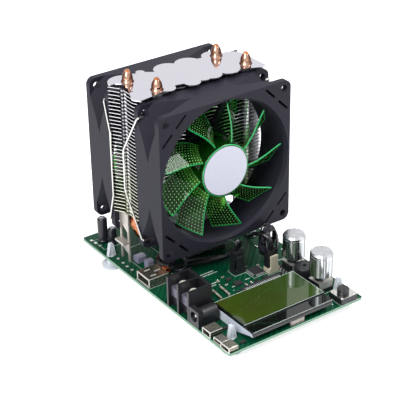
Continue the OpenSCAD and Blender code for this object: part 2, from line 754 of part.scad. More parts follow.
module fan_plugs() {
    color("#1c1c1f") for (p = header_spots)
        translate([p.x, p.y + plug_y, top + header_h]) difference() {
            union() {
                block(header_w, plug_d, plug_h);
                for (i = [-1, 1]) translate([i * (header_w / 2 - 0.7), -plug_d / 2, 0])
                    block(1, 0.9, plug_h - 4);
            }
            for (i = [-1 : 1]) translate([i * plug_pitch, -plug_y, -1])
                block(pin_w + 0.2, pin_w + 0.2, pin_top + 1.4);
        }
}

// Two black capacitors in the rear left corner: place, diameter and height of each
cap_spots = [[left + 8.2, back - 11.5, 6.3, 17], [left + 12, back - 16.7, 5.2, 11]];
module electrolytic_capacitors() {
    color("#2a2a30") for (p = cap_spots) translate([p[0], p[1], top])
        rotate_extrude($fn = 64) let (r = p[2] / 2, h = p[3])
            polygon([[0, 0], [r - 0.3, 0], [r, 0.4], [r, 1.5], [r - 0.35, 2], [r, 2.5],
                [r, h - 0.8], [r - 0.8, h], [r - 1.1, h], [r - 1.3, h - 0.3], [0, h - 0.3]]);
}

// Four power transistors clamped between the board and the cooler's base
module power_transistors() {
    color("#1d1d20") for (sx = [-1, 1], sy = [-1, 1])
        translate([cooler_x + sx * 9, cooler_y + sy * 9, top]) {
            block(10.4, 9.2, transistor_h);
            translate([0, sy * 5.4, 0]) block(9, 1.8, 1.3);
        }
}

// Two power chokes at the left, the rear one with a sloping lid
choke_spots = [[left + 14.1, cooler_y + 2], [left + 14.4, cooler_y - 8]];
module power_chokes() {
    color("#8f90a6") {
        translate([choke_spots[0].x, choke_spots[0].y, top]) profile_x(6)
            polygon([[-2.8, 0], [2.8, 0], [2.8, 3.5], [-1, 4.5], [-2.8, 3.8]]);
        translate([choke_spots[1].x, choke_spots[1].y, top]) linear_extrude(5.2)
            rounded(5, 4.2, 0.8);
    }
}

// Cooler base: a milled block with the two pipes' channels and a lip for each arm
base_screw_d = 3;
base_screw_x = base_w / 2 - 3;
base_screw_y = base_d / 2 - 3;
base_screw_spots = [for (sx = [-1, 1], sy = [-1, 1])
    [cooler_x + sx * base_screw_x, cooler_y + sy * base_screw_y]];
module cooler_base() {
    color("#b8bcc2") difference() {
        union() {
            translate([cooler_x, cooler_y, base_z]) linear_extrude(base_t)
                rounded(base_w, base_d, 1.5);
            for (i = [-1 : 1]) translate([cooler_x + i * 7, cooler_y, base_z + base_t])
                block(1.4, base_d - 4, 4);
        }
        for (p = base_screw_spots)
            translate([p.x, p.y, base_z - 1]) cylinder(d = base_screw_d + 0.2, h = base_t + 2);
        for (s = [-1, 1])
            translate([cooler_x - base_w, cooler_y + s * base_pitch / 2, run_z])
                rotate([0, 90, 0]) cylinder(d = pipe_hole_d, h = 2 * base_w);
    }
}

// A heat pipe: pointed crimped tip, straight leg, bend, flat run through the base, and back
leg_end = 19;
pipe_tip = top_plate_z + tip_h;
tip_drops = [0, 0.4, 1, 1.7, 2.4, 4.2, tip_h - 2, tip_h - 1.1, tip_h - 0.8];
tip_radii = [0.8, 1.4, 1.65, 1.6, 2, 2.55, pipe_d / 2, pipe_d / 2 + 0.3, pipe_d / 2];
function half_pipe(x, y, s, in_y) =
    let (a = [x + s * pipe_span / 2, y, run_z + leg_end],
        d = [cooler_x + s * (base_w / 2 + 0.6), in_y, run_z],
        handle = 0.62 * abs(a.x - d.x))
    concat([for (h = tip_drops) [a.x, a.y, pipe_tip - h]], [a],
        bend(a, a - [0, 0, 13], d + [s * handle, 0, 0], d, 8), [d]);
function both_ways(h) = concat(h, [for (i = [len(h) - 1 : -1 : 0]) h[i]]);
module heat_pipe(x, y, in_y) {
    l = half_pipe(x, y, -1, in_y);
    r = half_pipe(x, y, 1, in_y);
    radii = concat(tip_radii, [for (i = [len(tip_radii) : len(l) - 1]) pipe_d / 2]);
    tube(concat(l, [for (i = [len(r) - 1 : -1 : 0]) r[i]]), both_ways(radii), 16, [0, 1, 0]);
}
module front_heat_pipe() {
    color("#c07a4a") heat_pipe(front_pipe_x, front_pipe_y, cooler_y - base_pitch / 2);
}
module rear_heat_pipe() {
    color("#c07a4a") heat_pipe(rear_pipe_x, rear_pipe_y, cooler_y + base_pitch / 2);
}
leg_spots = [for (s = [-1, 1], p = [[front_pipe_x, front_pipe_y], [rear_pipe_x, rear_pipe_y]])
    [p.x + s * pipe_span / 2, p.y]];
module pipe_holes() {
    for (p = leg_spots) translate(p) circle(d = pipe_hole_d);
}

// Fins: a waisted plate with waved edges, tied by two folded tab columns at each end,
// and with a collar round each pipe leg
waist = 4.4;
front_waist = 3;
tab_w = 2;
tab_gap = 1.7;
tab_y = fin_depth * 0.15;
collar_wall = 0.3;
wave_r = 12;
wave_pitch = 11.6;
module fin_outline() {
    w = fin_w / 2;
    h = fin_depth / 2;
    difference() {
        translate([cooler_x, cooler_y]) difference() {
            polygon([for (s = [-1, 1], p = [[0, h], [waist * 0.5, h * 0.74],
                    [waist * 0.86, h * 0.54], [waist, h * 0.3], [waist, -h * 0.4],
                    [waist + front_waist, -h]])
                s < 0 ? [p.x - w, p.y] : [w - p.x, p.y]],
                [[0, 1, 2, 3, 4, 5, 11, 10, 9, 8, 7, 6]]);
            for (i = [-1.5 : 1.5], s = [-1, 1])
                translate([i * wave_pitch, s * (h + wave_r - 1.5)]) circle(r = wave_r);
        }
        pipe_holes();
    }
}
module fin_stack() {
    color("#c3c6cc") {
        for (i = [0 : fins - 1]) translate([0, 0, fin_z + i * fin_pitch])
            linear_extrude(fin_t) fin_outline();
        for (s = [-1, 1], c = [0, 1])
            translate([cooler_x + s * (fin_w / 2 - waist - 0.2) - 0.2,
                cooler_y + tab_y + (0.5 - c) * (tab_w + tab_gap) - tab_w / 2, fin_z])
                cube([fin_t, tab_w, stack_h]);
        translate([0, 0, fin_z]) linear_extrude(stack_h) difference() {
            for (p = leg_spots) translate(p) circle(d = pipe_hole_d + 2 * collar_wall);
            pipe_holes();
        }
    }
}
// The large top fin: round lobes as x, y and radius about a core, drawn for one size of
// stack and moved out with its edges, and a slot at the left
lobe_stack = [92, 27.2];
top_lobes = [[-37, 11.2, 9], [-30.5, 9.6, 8.6], [-22, 16.6, 2.7], [-6.4, 10.6, 8.7],
    [7.9, 10.6, 8.3], [26.3, 11, 7.2], [33.7, 2.3, 9.1], [39.6, -17.3, 3.3],
    [21.6, -10.8, 6.7], [9.6, -11.2, 6], [2.9, -11.6, 4.6], [-5.8, -13, 5.2],
    [-21.9, -11.9, 4.8], [-42.2, -13.2, 4.3]];
top_core = [[-40, 12], [-19.9, 15.3], [-15.1, 11.8], [0.8, 14.2], [15.5, 12.8], [33.3, 11.6],
    [42.8, 2], [42.9, -17], [39.4, -20.5], [27, -15], [15.1, -11.4], [-0.7, -14.4],
    [-15.8, -11.5], [-26, -14.4], [-35, -16.4], [-42.2, -17.4], [-46.3, -12.4],
    [-42, -2.4], [-40, 2]];
function on_stack(p) = [p.x + sign(p.x) * (fin_w - lobe_stack.x) / 2 * abs(p.x) / 46,
    p.y + sign(p.y) * (fin_depth - lobe_stack.y) / 2];
module top_fin() {
    color("#d5d7dd") translate([0, 0, top_plate_z]) linear_extrude(fin_t + 0.2) difference() {
        translate([cooler_x, cooler_y]) difference() {
            union() {
                polygon([for (p = top_core) on_stack(p)]);
                for (c = top_lobes) translate(on_stack(c)) circle(r = c[2]);
            }
            translate(on_stack([-44.3, 6.4])) circle(r = 4.9);
            translate([-fin_w / 2 - 1, -4.4]) square([7.4, 0.9]);
        }
        pipe_holes();
    }
}

// Sheet-metal brackets: two legs, a slanted web, a window and a seat for the lowest fin
bracket_gap = 5.1;
bracket_x = pipe_stagger + (pipe_span + pipe_d) / 2 + bracket_gap;
bracket_y = rear_face - 0.3 - bracket_d / 2;
shelf_z = 13;
shelf_t = 1.2;
module bracket() {
    h = fin_low;
    d = bracket_d;
    translate([0, 0, top]) {
        rotate([90, 0, 90]) linear_extrude(sheet_t) difference() {
            translate([-d / 2, 0]) square([d, h]);
            polygon([[-d / 2 + 1.4, -1], [-d / 2 + 1.4, 5.4], [d / 2 - 1.4, 8.6],
                [d / 2 - 1.4, -1]]);
            polygon([[-d / 2 + 1.4, shelf_z + shelf_t], [-d / 2 + 1.4, 20.4],
                [d / 2 - 1.4, 24.6], [d / 2 - 1.4, shelf_z + shelf_t]]);
        }
        translate([-4, -d / 2, shelf_z]) cube([4, d, shelf_t]);
        translate([sheet_t, -d / 2, h - sheet_t])
            cube([bracket_gap - sheet_t - 0.7, d, sheet_t]);
    }
}
module mounting_brackets() {
    color("#c9ccd2") {
        translate([cooler_x - bracket_x, bracket_y, 0]) bracket();
        translate([cooler_x + bracket_x, bracket_y, 0]) mirror([1, 0, 0]) bracket();
    }
}

// Four cross-head screws that hold the base down on the board
module base_screws() {
    color("#b9b9bd") for (p = base_screw_spots) translate([p.x, p.y, 0]) {
        translate([0, 0, board_lift]) cylinder(d = base_screw_d, h = base_z + base_t - board_lift);
        translate([0, 0, base_z + base_t]) difference() {
            cylinder(d = 5.4, h = 1.8);
            for (r = [0, 90]) rotate(r) translate([-1.8, -0.35, 1]) cube([3.6, 0.7, 2]);
        }
    }
}

// Fan parts are drawn with the axis along +Z and the open face at zero
fan_r = fan_size / 2;
motor_d = 38;
motor_t = 3;
magnet_gap = 1.4;
stator_d = hub_d - 2 * hub_wall - 2 * magnet_gap;
module in_front_fan() {
    translate([cooler_x, front_face, top + front_fan_z]) rotate([-90, 0, 0]) children();
}
module in_rear_fan() {
    translate([cooler_x, rear_face, top + rear_fan_z]) rotate([-90, 0, 0]) children();
}
module fan_frame() {
    difference() {
        linear_extrude(fan_t) rounded(fan_size, fan_size, fan_corner_r);
        translate([0, 0, -1]) cylinder(d = duct_d, h = fan_t + 2, $fn = 128);
        translate([0, 0, -0.01]) cylinder(d1 = duct_d + 2.4, d2 = duct_d, h = 2.5, $fn = 128);
        rotate_extrude($fn = 128) polygon([[pocket_r, fan_t / 2], [pocket_flare, flange_t],
            [fan_size, flange_t], [fan_size, fan_t - flange_t],
            [pocket_flare, fan_t - flange_t]]);
        for (sx = [-1, 1], sy = [-1, 1]) translate([sx * fan_pitch / 2, sy * fan_pitch / 2, -1])
            cylinder(d = fan_hole_d, h = fan_t + 2, $fn = 48);
        for (q = [0 : 3]) rotate(45 + 90 * q) for (s = [-1, 1])
            translate([corner_slot_r, s * 6.6 - 4.6, -1]) cube([corner_slot, 9.2, flange_t + 4]);
    }
    translate([0, 0, fan_t - motor_t]) cylinder(d = motor_d, h = motor_t, $fn = 96);
    for (q = [0 : 3]) rotate(25 + 90 * q)
        translate([motor_d / 2 - 1.5, -1.7, fan_t - 2.6])
            cube([duct_d / 2 - motor_d / 2 + 2.5, 3.4, 2.6]);
}

// Blades: rings of points run along the chord at each radius, from the hub to the tip
blade_steps = 5;
chord_steps = 5;
lead_angle = 6.4;
root_r = hub_d / 2 - hub_wall / 2;
function share(a, b, t) = a + (b - a) * t;
function blade_point(i, j, side) =
    let (t = i / blade_steps, s = j / chord_steps,
        r = share(root_r, tip_d / 2, t),
        a = sweep * pow(1 - t, 1.3) - lead_angle + share(root_span, tip_span, t) * s,
        z = hub_in + share(1.6, 0.8, t) + blade_h * (s + 0.35 * s * (1 - s)),
        th = side * blade_t * (0.35 + 1.3 * s * (1 - s)))
    [r * cos(a) + th * sin(a) * 0.7, r * sin(a) - th * cos(a) * 0.7, z + th * 0.7];
blade_row = chord_steps + 1;
function blade_points() = [for (side = [-1, 1], i = [0 : blade_steps], j = [0 : chord_steps])
    blade_point(i, j, side)];
function patch(a, b, c, d) = [[a, b, c], [a, c, d]];
function blade_faces() =
    let (n = (blade_steps + 1) * blade_row, m = blade_row)
    concat([for (i = [0 : blade_steps - 1], j = [0 : chord_steps - 1])
            let (p = i * m + j) each patch(p, p + m, p + m + 1, p + 1)],
        [for (i = [0 : blade_steps - 1], j = [0 : chord_steps - 1])
            let (p = n + i * m + j) each patch(p, p + 1, p + m + 1, p + m)],
        [for (j = [0 : chord_steps - 1]) each patch(j, j + 1, n + j + 1, n + j)],
        [for (j = [0 : chord_steps - 1]) let (p = blade_steps * m + j)
            each patch(p, n + p, n + p + 1, p + 1)],
        [for (i = [0 : blade_steps - 1]) let (p = i * m) each patch(p, n + p, n + p + m, p + m)],
        [for (i = [0 : blade_steps - 1]) let (p = i * m + chord_steps)
            each patch(p, p + m, n + p + m, n + p)]);
boss_d = 7;
module fan_rotor() {
    difference() {
        union() {
            difference() {
                translate([0, 0, hub_in]) cylinder(d = hub_d, h = hub_h, $fn = 96);
                translate([0, 0, hub_in + 2]) cylinder(d = hub_d - 2 * hub_wall, h = hub_h,
                    $fn = 96);
            }
            translate([0, 0, hub_in + 1]) cylinder(d = boss_d, h = 3.4);
        }
        translate([0, 0, hub_in + 0.8]) cylinder(d = shaft_d, h = 8);
    }
    for (k = [0 : blades - 1]) rotate(360 * k / blades)
        polyhedron(blade_points(), blade_faces());
}
stator_in = hub_in + 6;
module fan_shaft() {
    translate([0, 0, hub_in + 0.8]) cylinder(d = shaft_d, h = fan_t - motor_t - hub_in - 1.2);
}
module fan_stator() {
    difference() {
        union() {
            translate([0, 0, stator_in]) cylinder(d = 8, h = fan_t - motor_t - stator_in);
            translate([0, 0, stator_in + 1]) linear_extrude(8) {
                circle(d = 14);
                for (q = [0 : 3]) rotate(90 * q) {
                    translate([0, -1.5]) square([13, 3]);
                    intersection() {
                        difference() {
                            circle(d = stator_d);
                            circle(d = stator_d - 5);
                        }
                        polygon([[0, 0], [20, 14], [20, -14]]);
                    }
                }
            }
            translate([0, 0, fan_t - motor_t - 1.2]) cylinder(d = stator_d - 2, h = 1.2);
        }
        translate([0, 0, stator_in - 1]) cylinder(d = shaft_d + 2 * bearing_gap, h = fan_t);
    }
}
module fan_label() {
    translate([0, 0, hub_in - 0.15]) cylinder(d = label_d, h = 0.15, $fn = 96);
}
module front_fan_frame() {
    color("#2e2c33") in_front_fan() fan_frame();
}
module front_fan_rotor() {
    color("#0a9a40") in_front_fan() fan_rotor();
}
module front_fan_shaft() {
    color("#b9b9bd") in_front_fan() fan_shaft();
}
module front_fan_stator() {
    color("#8a6a3a") in_front_fan() fan_stator();
}
module front_fan_label() {
    color("#d9dbe6") in_front_fan() fan_label();
}
module rear_fan_frame() {
    color("#2e2c33") in_rear_fan() fan_frame();
}
module rear_fan_rotor() {
    color("#0a9a40") in_rear_fan() fan_rotor();
}
module rear_fan_shaft() {
    color("#b9b9bd") in_rear_fan() fan_shaft();
}
module rear_fan_stator() {
    color("#8a6a3a") in_rear_fan() fan_stator();
}
module rear_fan_label() {
    color("#d9dbe6") in_rear_fan() fan_label();
}

// Fan leads: each runs from the foot of its fan's frame to the plug on its header
plug_top = top + header_h + plug_h;
front_out = [cooler_x - 16.9, front_face + 15.3, top + front_fan_z - fan_r];
rear_out = [cooler_x + 37.1, rear_face + 21.1, top + rear_fan_z - fan_r];
front_in = [header_spots[1].x, header_spots[1].y + 1, plug_top];
rear_in = [header_spots[0].x, header_spots[0].y + 1, plug_top];
front_lead = concat([for (d = [[0, 0, 0], [0, 0.5, -4.5], [-4.5, 6, -10], [-10, 13, -14],
        [-14, 13.6, -16.3], [-15.4, 8.8, -17.1], [-13, 3.8, -17.3], [-8, 1, -17.4],
        [-0.3, 0.4, -17.4], [11.9, -3.8, -17.3], [21.5, -7.2, -16.5]]) front_out + d],
    [for (d = [[4.8, 7.9, -6.6], [4.4, 3.9, -1.2], [3.1, 0.9, 4.4], [0.9, 0, 6.2],
        [0, 0, 4.2], [0, 0, 0]]) front_in + d]);
rear_lead = concat([for (d = [[0, 0, 0], [0, 0, -6], [-1, -8, -15], [-1.5, -18, -16.4],
        [-1.5, -32, -16.6], [-2, -48, -16.2], [-6, -58, -14]]) rear_out + d],
    [for (d = [[3.5, 9.3, -4.2], [-2.5, 3.3, 0.8], [-4, -3.7, 6.8]])
        [rear_in.x + d.x, front_face + d.y, rear_in.z + d.z]],
    [for (d = [[-1.5, 4.5, 8.3], [0, 0, 5.8], [0, 0, 0]]) rear_in + d]);
// A lead with a sleeve over its three wires from one step of its path to another
module lead(points, from, to, sleeve) {
    path = smooth(points, 2);
    tube(path, [for (i = [0 : len(path) - 1]) (i >= from && i <= to ? sleeve : lead_d) / 2],
        8, [0.3, 1, 0.1]);
}
module front_fan_lead() {
    color("#1c1c1f") lead(front_lead, 4, 19, sleeve_d);
}
module rear_fan_lead() {
    color("#1c1c1f") lead(rear_lead, 4, 12, lead_d);
}

// Spring wire clips, two at each side, hooked behind the flanges that face the fins
clip_out = fan_r + clip_d / 2 + 0.02;
clip_hook = 3.6;
hook_z = sqrt(pow(pocket_flare, 2) - pow(fan_r, 2)) + 4;
function clip_path(face, s, z, reach, bow) =
    let (y = face + s * (flange_t + clip_d / 2), in_y = face - s * bow)
    [[clip_hook, y, z + hook_z], [0.6, y, z + hook_z], [0, y - s * 0.6, z + hook_z - 0.6],
    [0, in_y + s * 0.6, z + reach + 1], [0, in_y, z + reach - 1],
    [0, in_y, z], [0, in_y, z - reach + 1],
    [0, in_y + s * 0.6, z - reach - 1], [0, y - s * 0.6, z - hook_z + 0.6],
    [0.6, y, z - hook_z], [clip_hook, y, z - hook_z]];
module clip(path, s) {
    points = [for (p = path) [cooler_x + s * (clip_out - p.x), p.y, p.z]];
    tube(points, [for (p = points) clip_d / 2], 8, [0.1, 0, 1]);
}
module fan_clips() {
    color("#dfe1e4") for (s = [-1, 1]) {
        clip(clip_path(rear_face, 1, top + rear_fan_z, fan_size * 0.236, 1.2), s);
        clip(clip_path(front_face + fan_t, -1, top + front_fan_z, fan_size * 0.14, 12.3), s);
    }
}

circuit_board();
board_standoffs();
display_backlight();
display_glass();
display_pins();
main_chip();
chip_leads();
surface_mount_parts();
current_shunts();
quartz_crystal();
terminal_housing();
terminal_plates();
terminal_screws();
power_jack_housing();
power_jack_pin();
usb_a_shell();
usb_a_tongue();
mini_usb_shell();
micro_usb_shell();
type_c_shell();
small_socket_tongues();
potentiometer_bases();
potentiometer_cases();
potentiometer_pins();
coarse_shaft();
fine_shaft();
coarse_knob();
fine_knob();
buzzer();
button_base();
button_cover();
button_cap();
fan_headers();
header_pins();
fan_plugs();
electrolytic_capacitors();
power_transistors();
power_chokes();
cooler_base();
front_heat_pipe();
rear_heat_pipe();
fin_stack();
top_fin();
mounting_brackets();
base_screws();
front_fan_frame();
front_fan_rotor();
front_fan_shaft();
front_fan_stator();
front_fan_label();
front_fan_lead();
rear_fan_frame();
rear_fan_rotor();
rear_fan_shaft();
rear_fan_stator();
rear_fan_label();
rear_fan_lead();
fan_clips();
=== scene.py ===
import math

import bmesh
import bpy
from mathutils import Matrix, Vector


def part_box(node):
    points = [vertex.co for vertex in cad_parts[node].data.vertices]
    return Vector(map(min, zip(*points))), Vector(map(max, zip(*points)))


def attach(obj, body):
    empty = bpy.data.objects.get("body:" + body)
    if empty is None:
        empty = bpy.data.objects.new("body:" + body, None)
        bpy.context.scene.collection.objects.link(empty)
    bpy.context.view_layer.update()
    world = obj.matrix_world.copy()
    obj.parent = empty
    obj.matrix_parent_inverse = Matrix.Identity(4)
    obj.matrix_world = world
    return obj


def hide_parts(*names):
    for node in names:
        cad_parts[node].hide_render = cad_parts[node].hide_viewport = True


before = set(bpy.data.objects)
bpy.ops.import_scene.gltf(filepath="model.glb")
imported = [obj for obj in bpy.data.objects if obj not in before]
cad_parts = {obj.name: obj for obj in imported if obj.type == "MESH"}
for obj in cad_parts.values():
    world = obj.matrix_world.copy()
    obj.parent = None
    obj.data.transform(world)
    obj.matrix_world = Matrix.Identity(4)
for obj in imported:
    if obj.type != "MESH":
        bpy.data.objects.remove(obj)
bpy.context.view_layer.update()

# The viewpoint: a long lens 0.7 m from the board's front left corner, looking down by 29 degrees.
# The lens and its film are in millimetres, and the camera's place and reach in metres.
heading, dip, tilt = [math.radians(angle) for angle in (34.64, 28.75, -1.09)]
camera_at = (-0.3889, -0.5462, 0.4206)
lens, film_width = 117.13, 36
nearest, furthest = 0.05, 20
ahead = Vector((math.cos(dip) * math.sin(heading), math.cos(dip) * math.cos(heading),
                -math.sin(dip)))
level = ahead.cross(Vector((0, 0, 1))).normalized()
upright = level.cross(ahead)
across = level * math.cos(tilt) + upright * math.sin(tilt)
over = upright * math.cos(tilt) - level * math.sin(tilt)
camera = bpy.data.objects.new("camera", bpy.data.cameras.new("camera"))
camera.data.lens = lens
camera.data.sensor_width = film_width
camera.data.sensor_fit = "HORIZONTAL"
camera.data.clip_start, camera.data.clip_end = nearest, furthest
turned_to = Matrix((across, over, -ahead)).transposed().to_4x4()
camera.matrix_world = Matrix.Translation(camera_at) @ turned_to
bpy.context.collection.objects.link(camera)
bpy.context.scene.camera = camera
bpy.context.scene.view_settings.view_transform = "Standard"


# The bench: a wide sheet of white paper laid flat in a pale room. Three soft boxes light it: a
# tall one over the left shoulder, a wide one straight above, and a small one from the right.
def linear(code):
    parts = [int(code[i:i + 2], 16) / 255 for i in (1, 3, 5)]
    return [c / 12.92 if c <= 0.04045 else ((c + 0.055) / 1.055) ** 2.4 for c in parts] + [1]


def add(tree, kind, settings={}, links={}):
    made = tree.nodes.new(kind)
    for name, value in settings.items():
        if isinstance(name, str) and hasattr(made, name):
            setattr(made, name, value)
        else:
            made.inputs[name].default_value = value
    for name, source in links.items():
        tree.links.new(source, made.inputs[name])
    return made


def blank(name):
    finish = bpy.data.materials.new(name)
    finish.use_nodes = True
    finish.node_tree.nodes.clear()
    return finish, finish.node_tree


def into_piece(bm, name, finish, body=None, angle=35):
    mesh = bpy.data.meshes.new(name)
    bm.to_mesh(mesh)
    bm.free()
    mesh.materials.append(finish)
    piece = bpy.data.objects.new(name, mesh)
    bpy.context.collection.objects.link(piece)
    mesh.shade_smooth()
    mesh.set_sharp_from_angle(angle=math.radians(angle))
    if body:
        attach(piece, body)
    return piece


# Matt paper takes a soft shadow and has no shine. It reads as white to the eye, and in anything
# that mirrors it or lets it through.
bench_half = 4  # half the sheet's side, in metres
sweep_white, tree = blank("bench_paper_white")
path = add(tree, "ShaderNodeLightPath")
seen = add(tree, "ShaderNodeMath", {"operation": "MAXIMUM"},
           {0: path.outputs["Is Camera Ray"], 1: path.outputs["Is Glossy Ray"]})
seen = add(tree, "ShaderNodeMath", {"operation": "MAXIMUM"},
           {0: seen.outputs[0], 1: path.outputs["Is Transmission Ray"]})
paper = add(tree, "ShaderNodeBsdfDiffuse", {"Color": linear("#e9e9ea")})
bright = add(tree, "ShaderNodeEmission", {"Color": linear("#ffffff"), "Strength": 0.8})
glow = add(tree, "ShaderNodeAddShader", {}, {0: paper.outputs[0], 1: bright.outputs[0]})
mixed = add(tree, "ShaderNodeMixShader", {}, {0: seen.outputs[0], 1: paper.outputs[0],
                                             2: glow.outputs[0]})
add(tree, "ShaderNodeOutputMaterial", {}, {"Surface": mixed.outputs[0]})
bm = bmesh.new()
bmesh.ops.create_grid(bm, x_segments=1, y_segments=1, size=bench_half)
bench = into_piece(bm, "bench", sweep_white)

# The room adds a dim, cool light of its own, and is white where it is seen or mirrored.
world = bpy.data.worlds.new("studio")
bpy.context.scene.world = world
world.use_nodes = True
tree = world.node_tree
tree.nodes.clear()
path = add(tree, "ShaderNodeLightPath")
seen = add(tree, "ShaderNodeMath", {"operation": "MAXIMUM"},
           {0: path.outputs["Is Camera Ray"], 1: path.outputs["Is Glossy Ray"]})
seen = add(tree, "ShaderNodeMath", {"operation": "MAXIMUM"},
           {0: seen.outputs[0], 1: path.outputs["Is Transmission Ray"]})
room = add(tree, "ShaderNodeBackground", {"Color": linear("#e4e6f2"), "Strength": 0.35})
white = add(tree, "ShaderNodeBackground", {"Color": linear("#ffffff"), "Strength": 1.0})
mixed = add(tree, "ShaderNodeMixShader", {}, {0: seen.outputs[0], 1: room.outputs[0],
                                             2: white.outputs[0]})
add(tree, "ShaderNodeOutputWorld", {}, {"Surface": mixed.outputs[0]})

# each lamp's place, the point it faces and its size in metres, and its power in watts
soft_boxes = [
    ("soft_box_left", (-0.75, -0.35, 0.75), (0, 0, 0.05), (0.5, 0.7), 7.5),
    ("soft_box_top", (-0.1, 0.0, 1.1), (0, 0, 0.05), (1.2, 1.2), 6.5),
    ("soft_box_right", (0.6, -0.36, 0.84), (-0.04, 0, 0.09), (0.42, 0.42), 6)]
for name, place, aim, size, watts in soft_boxes:
    lamp = bpy.data.objects.new(name, bpy.data.lights.new(name, "AREA"))
    lamp.data.shape = "RECTANGLE"
    lamp.data.size, lamp.data.size_y = size
    lamp.data.energy = watts
    # polished tops would mirror the wide box and clip to white, so they don't see it
    lamp.visible_glossy = name != "soft_box_top"
    lamp.location = place
    lamp.rotation_euler = (Vector(aim) - Vector(place)).to_track_quat("-Z", "Y").to_euler()
    bpy.context.collection.objects.link(lamp)


# The board: glass fibre laminate with tracks of copper foil under a screened green mask, drilled
# and sawn to size. Its edge shows the bare, paler laminate, and its tracks stand a little proud.
MM = 0.001


# the scale of a noise whose patches are this many millimetres across
def patches(size):
    return 1 / (size * MM)


# the scale of a wave texture whose bands are this many millimetres apart
def bands(spacing):
    return math.tau / (20 * spacing * MM)


# a CAD node gets its finish, and softly broken edges where the bevel, in millimetres, is given
def dress(node, finish, bevel=0):
    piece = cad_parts[node]
    piece.data.materials.clear()
    piece.data.materials.append(finish)
    if bevel:
        weld = piece.modifiers.new("joined", "WELD")
        weld.merge_threshold = 0.004 * MM
        edge = piece.modifiers.new("eased_edges", "BEVEL")
        edge.width = bevel * MM
        edge.segments = 2
        edge.limit_method = "ANGLE"
        edge.angle_limit = math.radians(40)
        edge.harden_normals = True


# Lacquer over dark laminate: a deep, half-glossy green, paler where copper lies under it, mottled
# every 1.1 mm by the weave, and a dull straw green on the sawn edge.
mask_green, tree = blank("glass_fibre_with_green_mask")
where = add(tree, "ShaderNodeTexCoord")
facing = add(tree, "ShaderNodeNewGeometry")
turned = add(tree, "ShaderNodeMapping", {"Rotation": (0, 0, math.radians(45))},
             {"Vector": where.outputs["Object"]})
# tracks every 2 mm, straight or slanted as fields of 14 mm have them
along = add(tree, "ShaderNodeTexWave",
            {"bands_direction": "X", "Scale": bands(1.9635), "Distortion": 0},
            {"Vector": where.outputs["Object"]})
slant = add(tree, "ShaderNodeTexWave",
            {"bands_direction": "X", "Scale": bands(2.856), "Distortion": 0},
            {"Vector": turned.outputs[0]})
fields = add(tree, "ShaderNodeTexNoise", {"Scale": patches(14.3), "Detail": 1},
             {"Vector": where.outputs["Object"]})
pick = add(tree, "ShaderNodeMath", {"operation": "GREATER_THAN", 1: 0.5}, {0: fields.outputs[0]})
lines = add(tree, "ShaderNodeMix", {},
            {0: pick.outputs[0], 2: along.outputs[0], 3: slant.outputs[0]})
tracks = add(tree, "ShaderNodeMapRange", {"From Min": 0.68, "From Max": 0.78},
             {0: lines.outputs[0]})
grain = add(tree, "ShaderNodeTexNoise", {"Scale": patches(1.11), "Detail": 3},
            {"Vector": where.outputs["Object"]})
green = add(tree, "ShaderNodeMix",
            {"data_type": "RGBA", 6: linear("#03422b"), 7: linear("#075b3a")},
            {0: tracks.outputs[0]})
cloudy = add(tree, "ShaderNodeMix", {"data_type": "RGBA", "blend_type": "MULTIPLY", 0: 0.35},
             {6: green.outputs[2], 7: grain.outputs[1]})
upward = add(tree, "ShaderNodeSeparateXYZ", {}, {0: facing.outputs["True Normal"]})
flat = add(tree, "ShaderNodeMath", {"operation": "ABSOLUTE"}, {0: upward.outputs[2]})
sawn = add(tree, "ShaderNodeMath", {"operation": "LESS_THAN", 1: 0.5}, {0: flat.outputs[0]})
colour = add(tree, "ShaderNodeMix", {"data_type": "RGBA", 7: linear("#93b9a0")},
             {0: sawn.outputs[0], 6: cloudy.outputs[2]})
relief = add(tree, "ShaderNodeBump", {"Strength": 0.35, "Distance": 0.04 * MM},
             {"Height": tracks.outputs[0]})
shader = add(tree, "ShaderNodeBsdfPrincipled", {"Roughness": 0.38, "Specular IOR Level": 0.14},
             {"Base Color": colour.outputs[2], "Normal": relief.outputs[0]})
add(tree, "ShaderNodeOutputMaterial", {}, {0: shader.outputs[0]})
dress("circuit_board", mask_green)


# Printed marks: white ink, screened onto the finished board. They are outlines round the larger
# parts, and rows of short dashes beside the small ones.
board_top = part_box("circuit_board")[1].z / MM
# Screened ink is matt and chalky, and thin in spots of 0.45 mm, where green shows through.
white_ink, tree = blank("screened_white_ink")
where = add(tree, "ShaderNodeTexCoord")
worn = add(tree, "ShaderNodeTexNoise", {"Scale": patches(0.4545), "Detail": 2},
           {"Vector": where.outputs["Object"]})
tone = add(tree, "ShaderNodeMix", {"data_type": "RGBA", 6: linear("#b9cfc2"), 7: linear("#f4f6f2")},
           {0: worn.outputs[0]})
shader = add(tree, "ShaderNodeBsdfPrincipled", {"Roughness": 0.6}, {"Base Color": tone.outputs[2]})
add(tree, "ShaderNodeOutputMaterial", {}, {0: shader.outputs[0]})


# a small flat bar, w by d by t, in millimetres: it lies on the board, or with its foot at z
def dash(bm, x, y, w, d, turn=0.0, z=None, t=0.03):
    foot = board_top if z is None else z
    spot = Matrix.Translation((x * MM, y * MM, (foot + t / 2) * MM))
    turned_by = Matrix.Rotation(math.radians(turn), 4, "Z")
    shape = Matrix.Diagonal((w * MM, d * MM, t * MM, 1))
    bmesh.ops.create_cube(bm, size=1, matrix=spot @ turned_by @ shape)


def outline(bm, x, y, w, d, line=0.2):
    for s in (-1, 1):
        dash(bm, x, y + s * d / 2, w + line, line)
        dash(bm, x + s * w / 2, y, line, d - line)


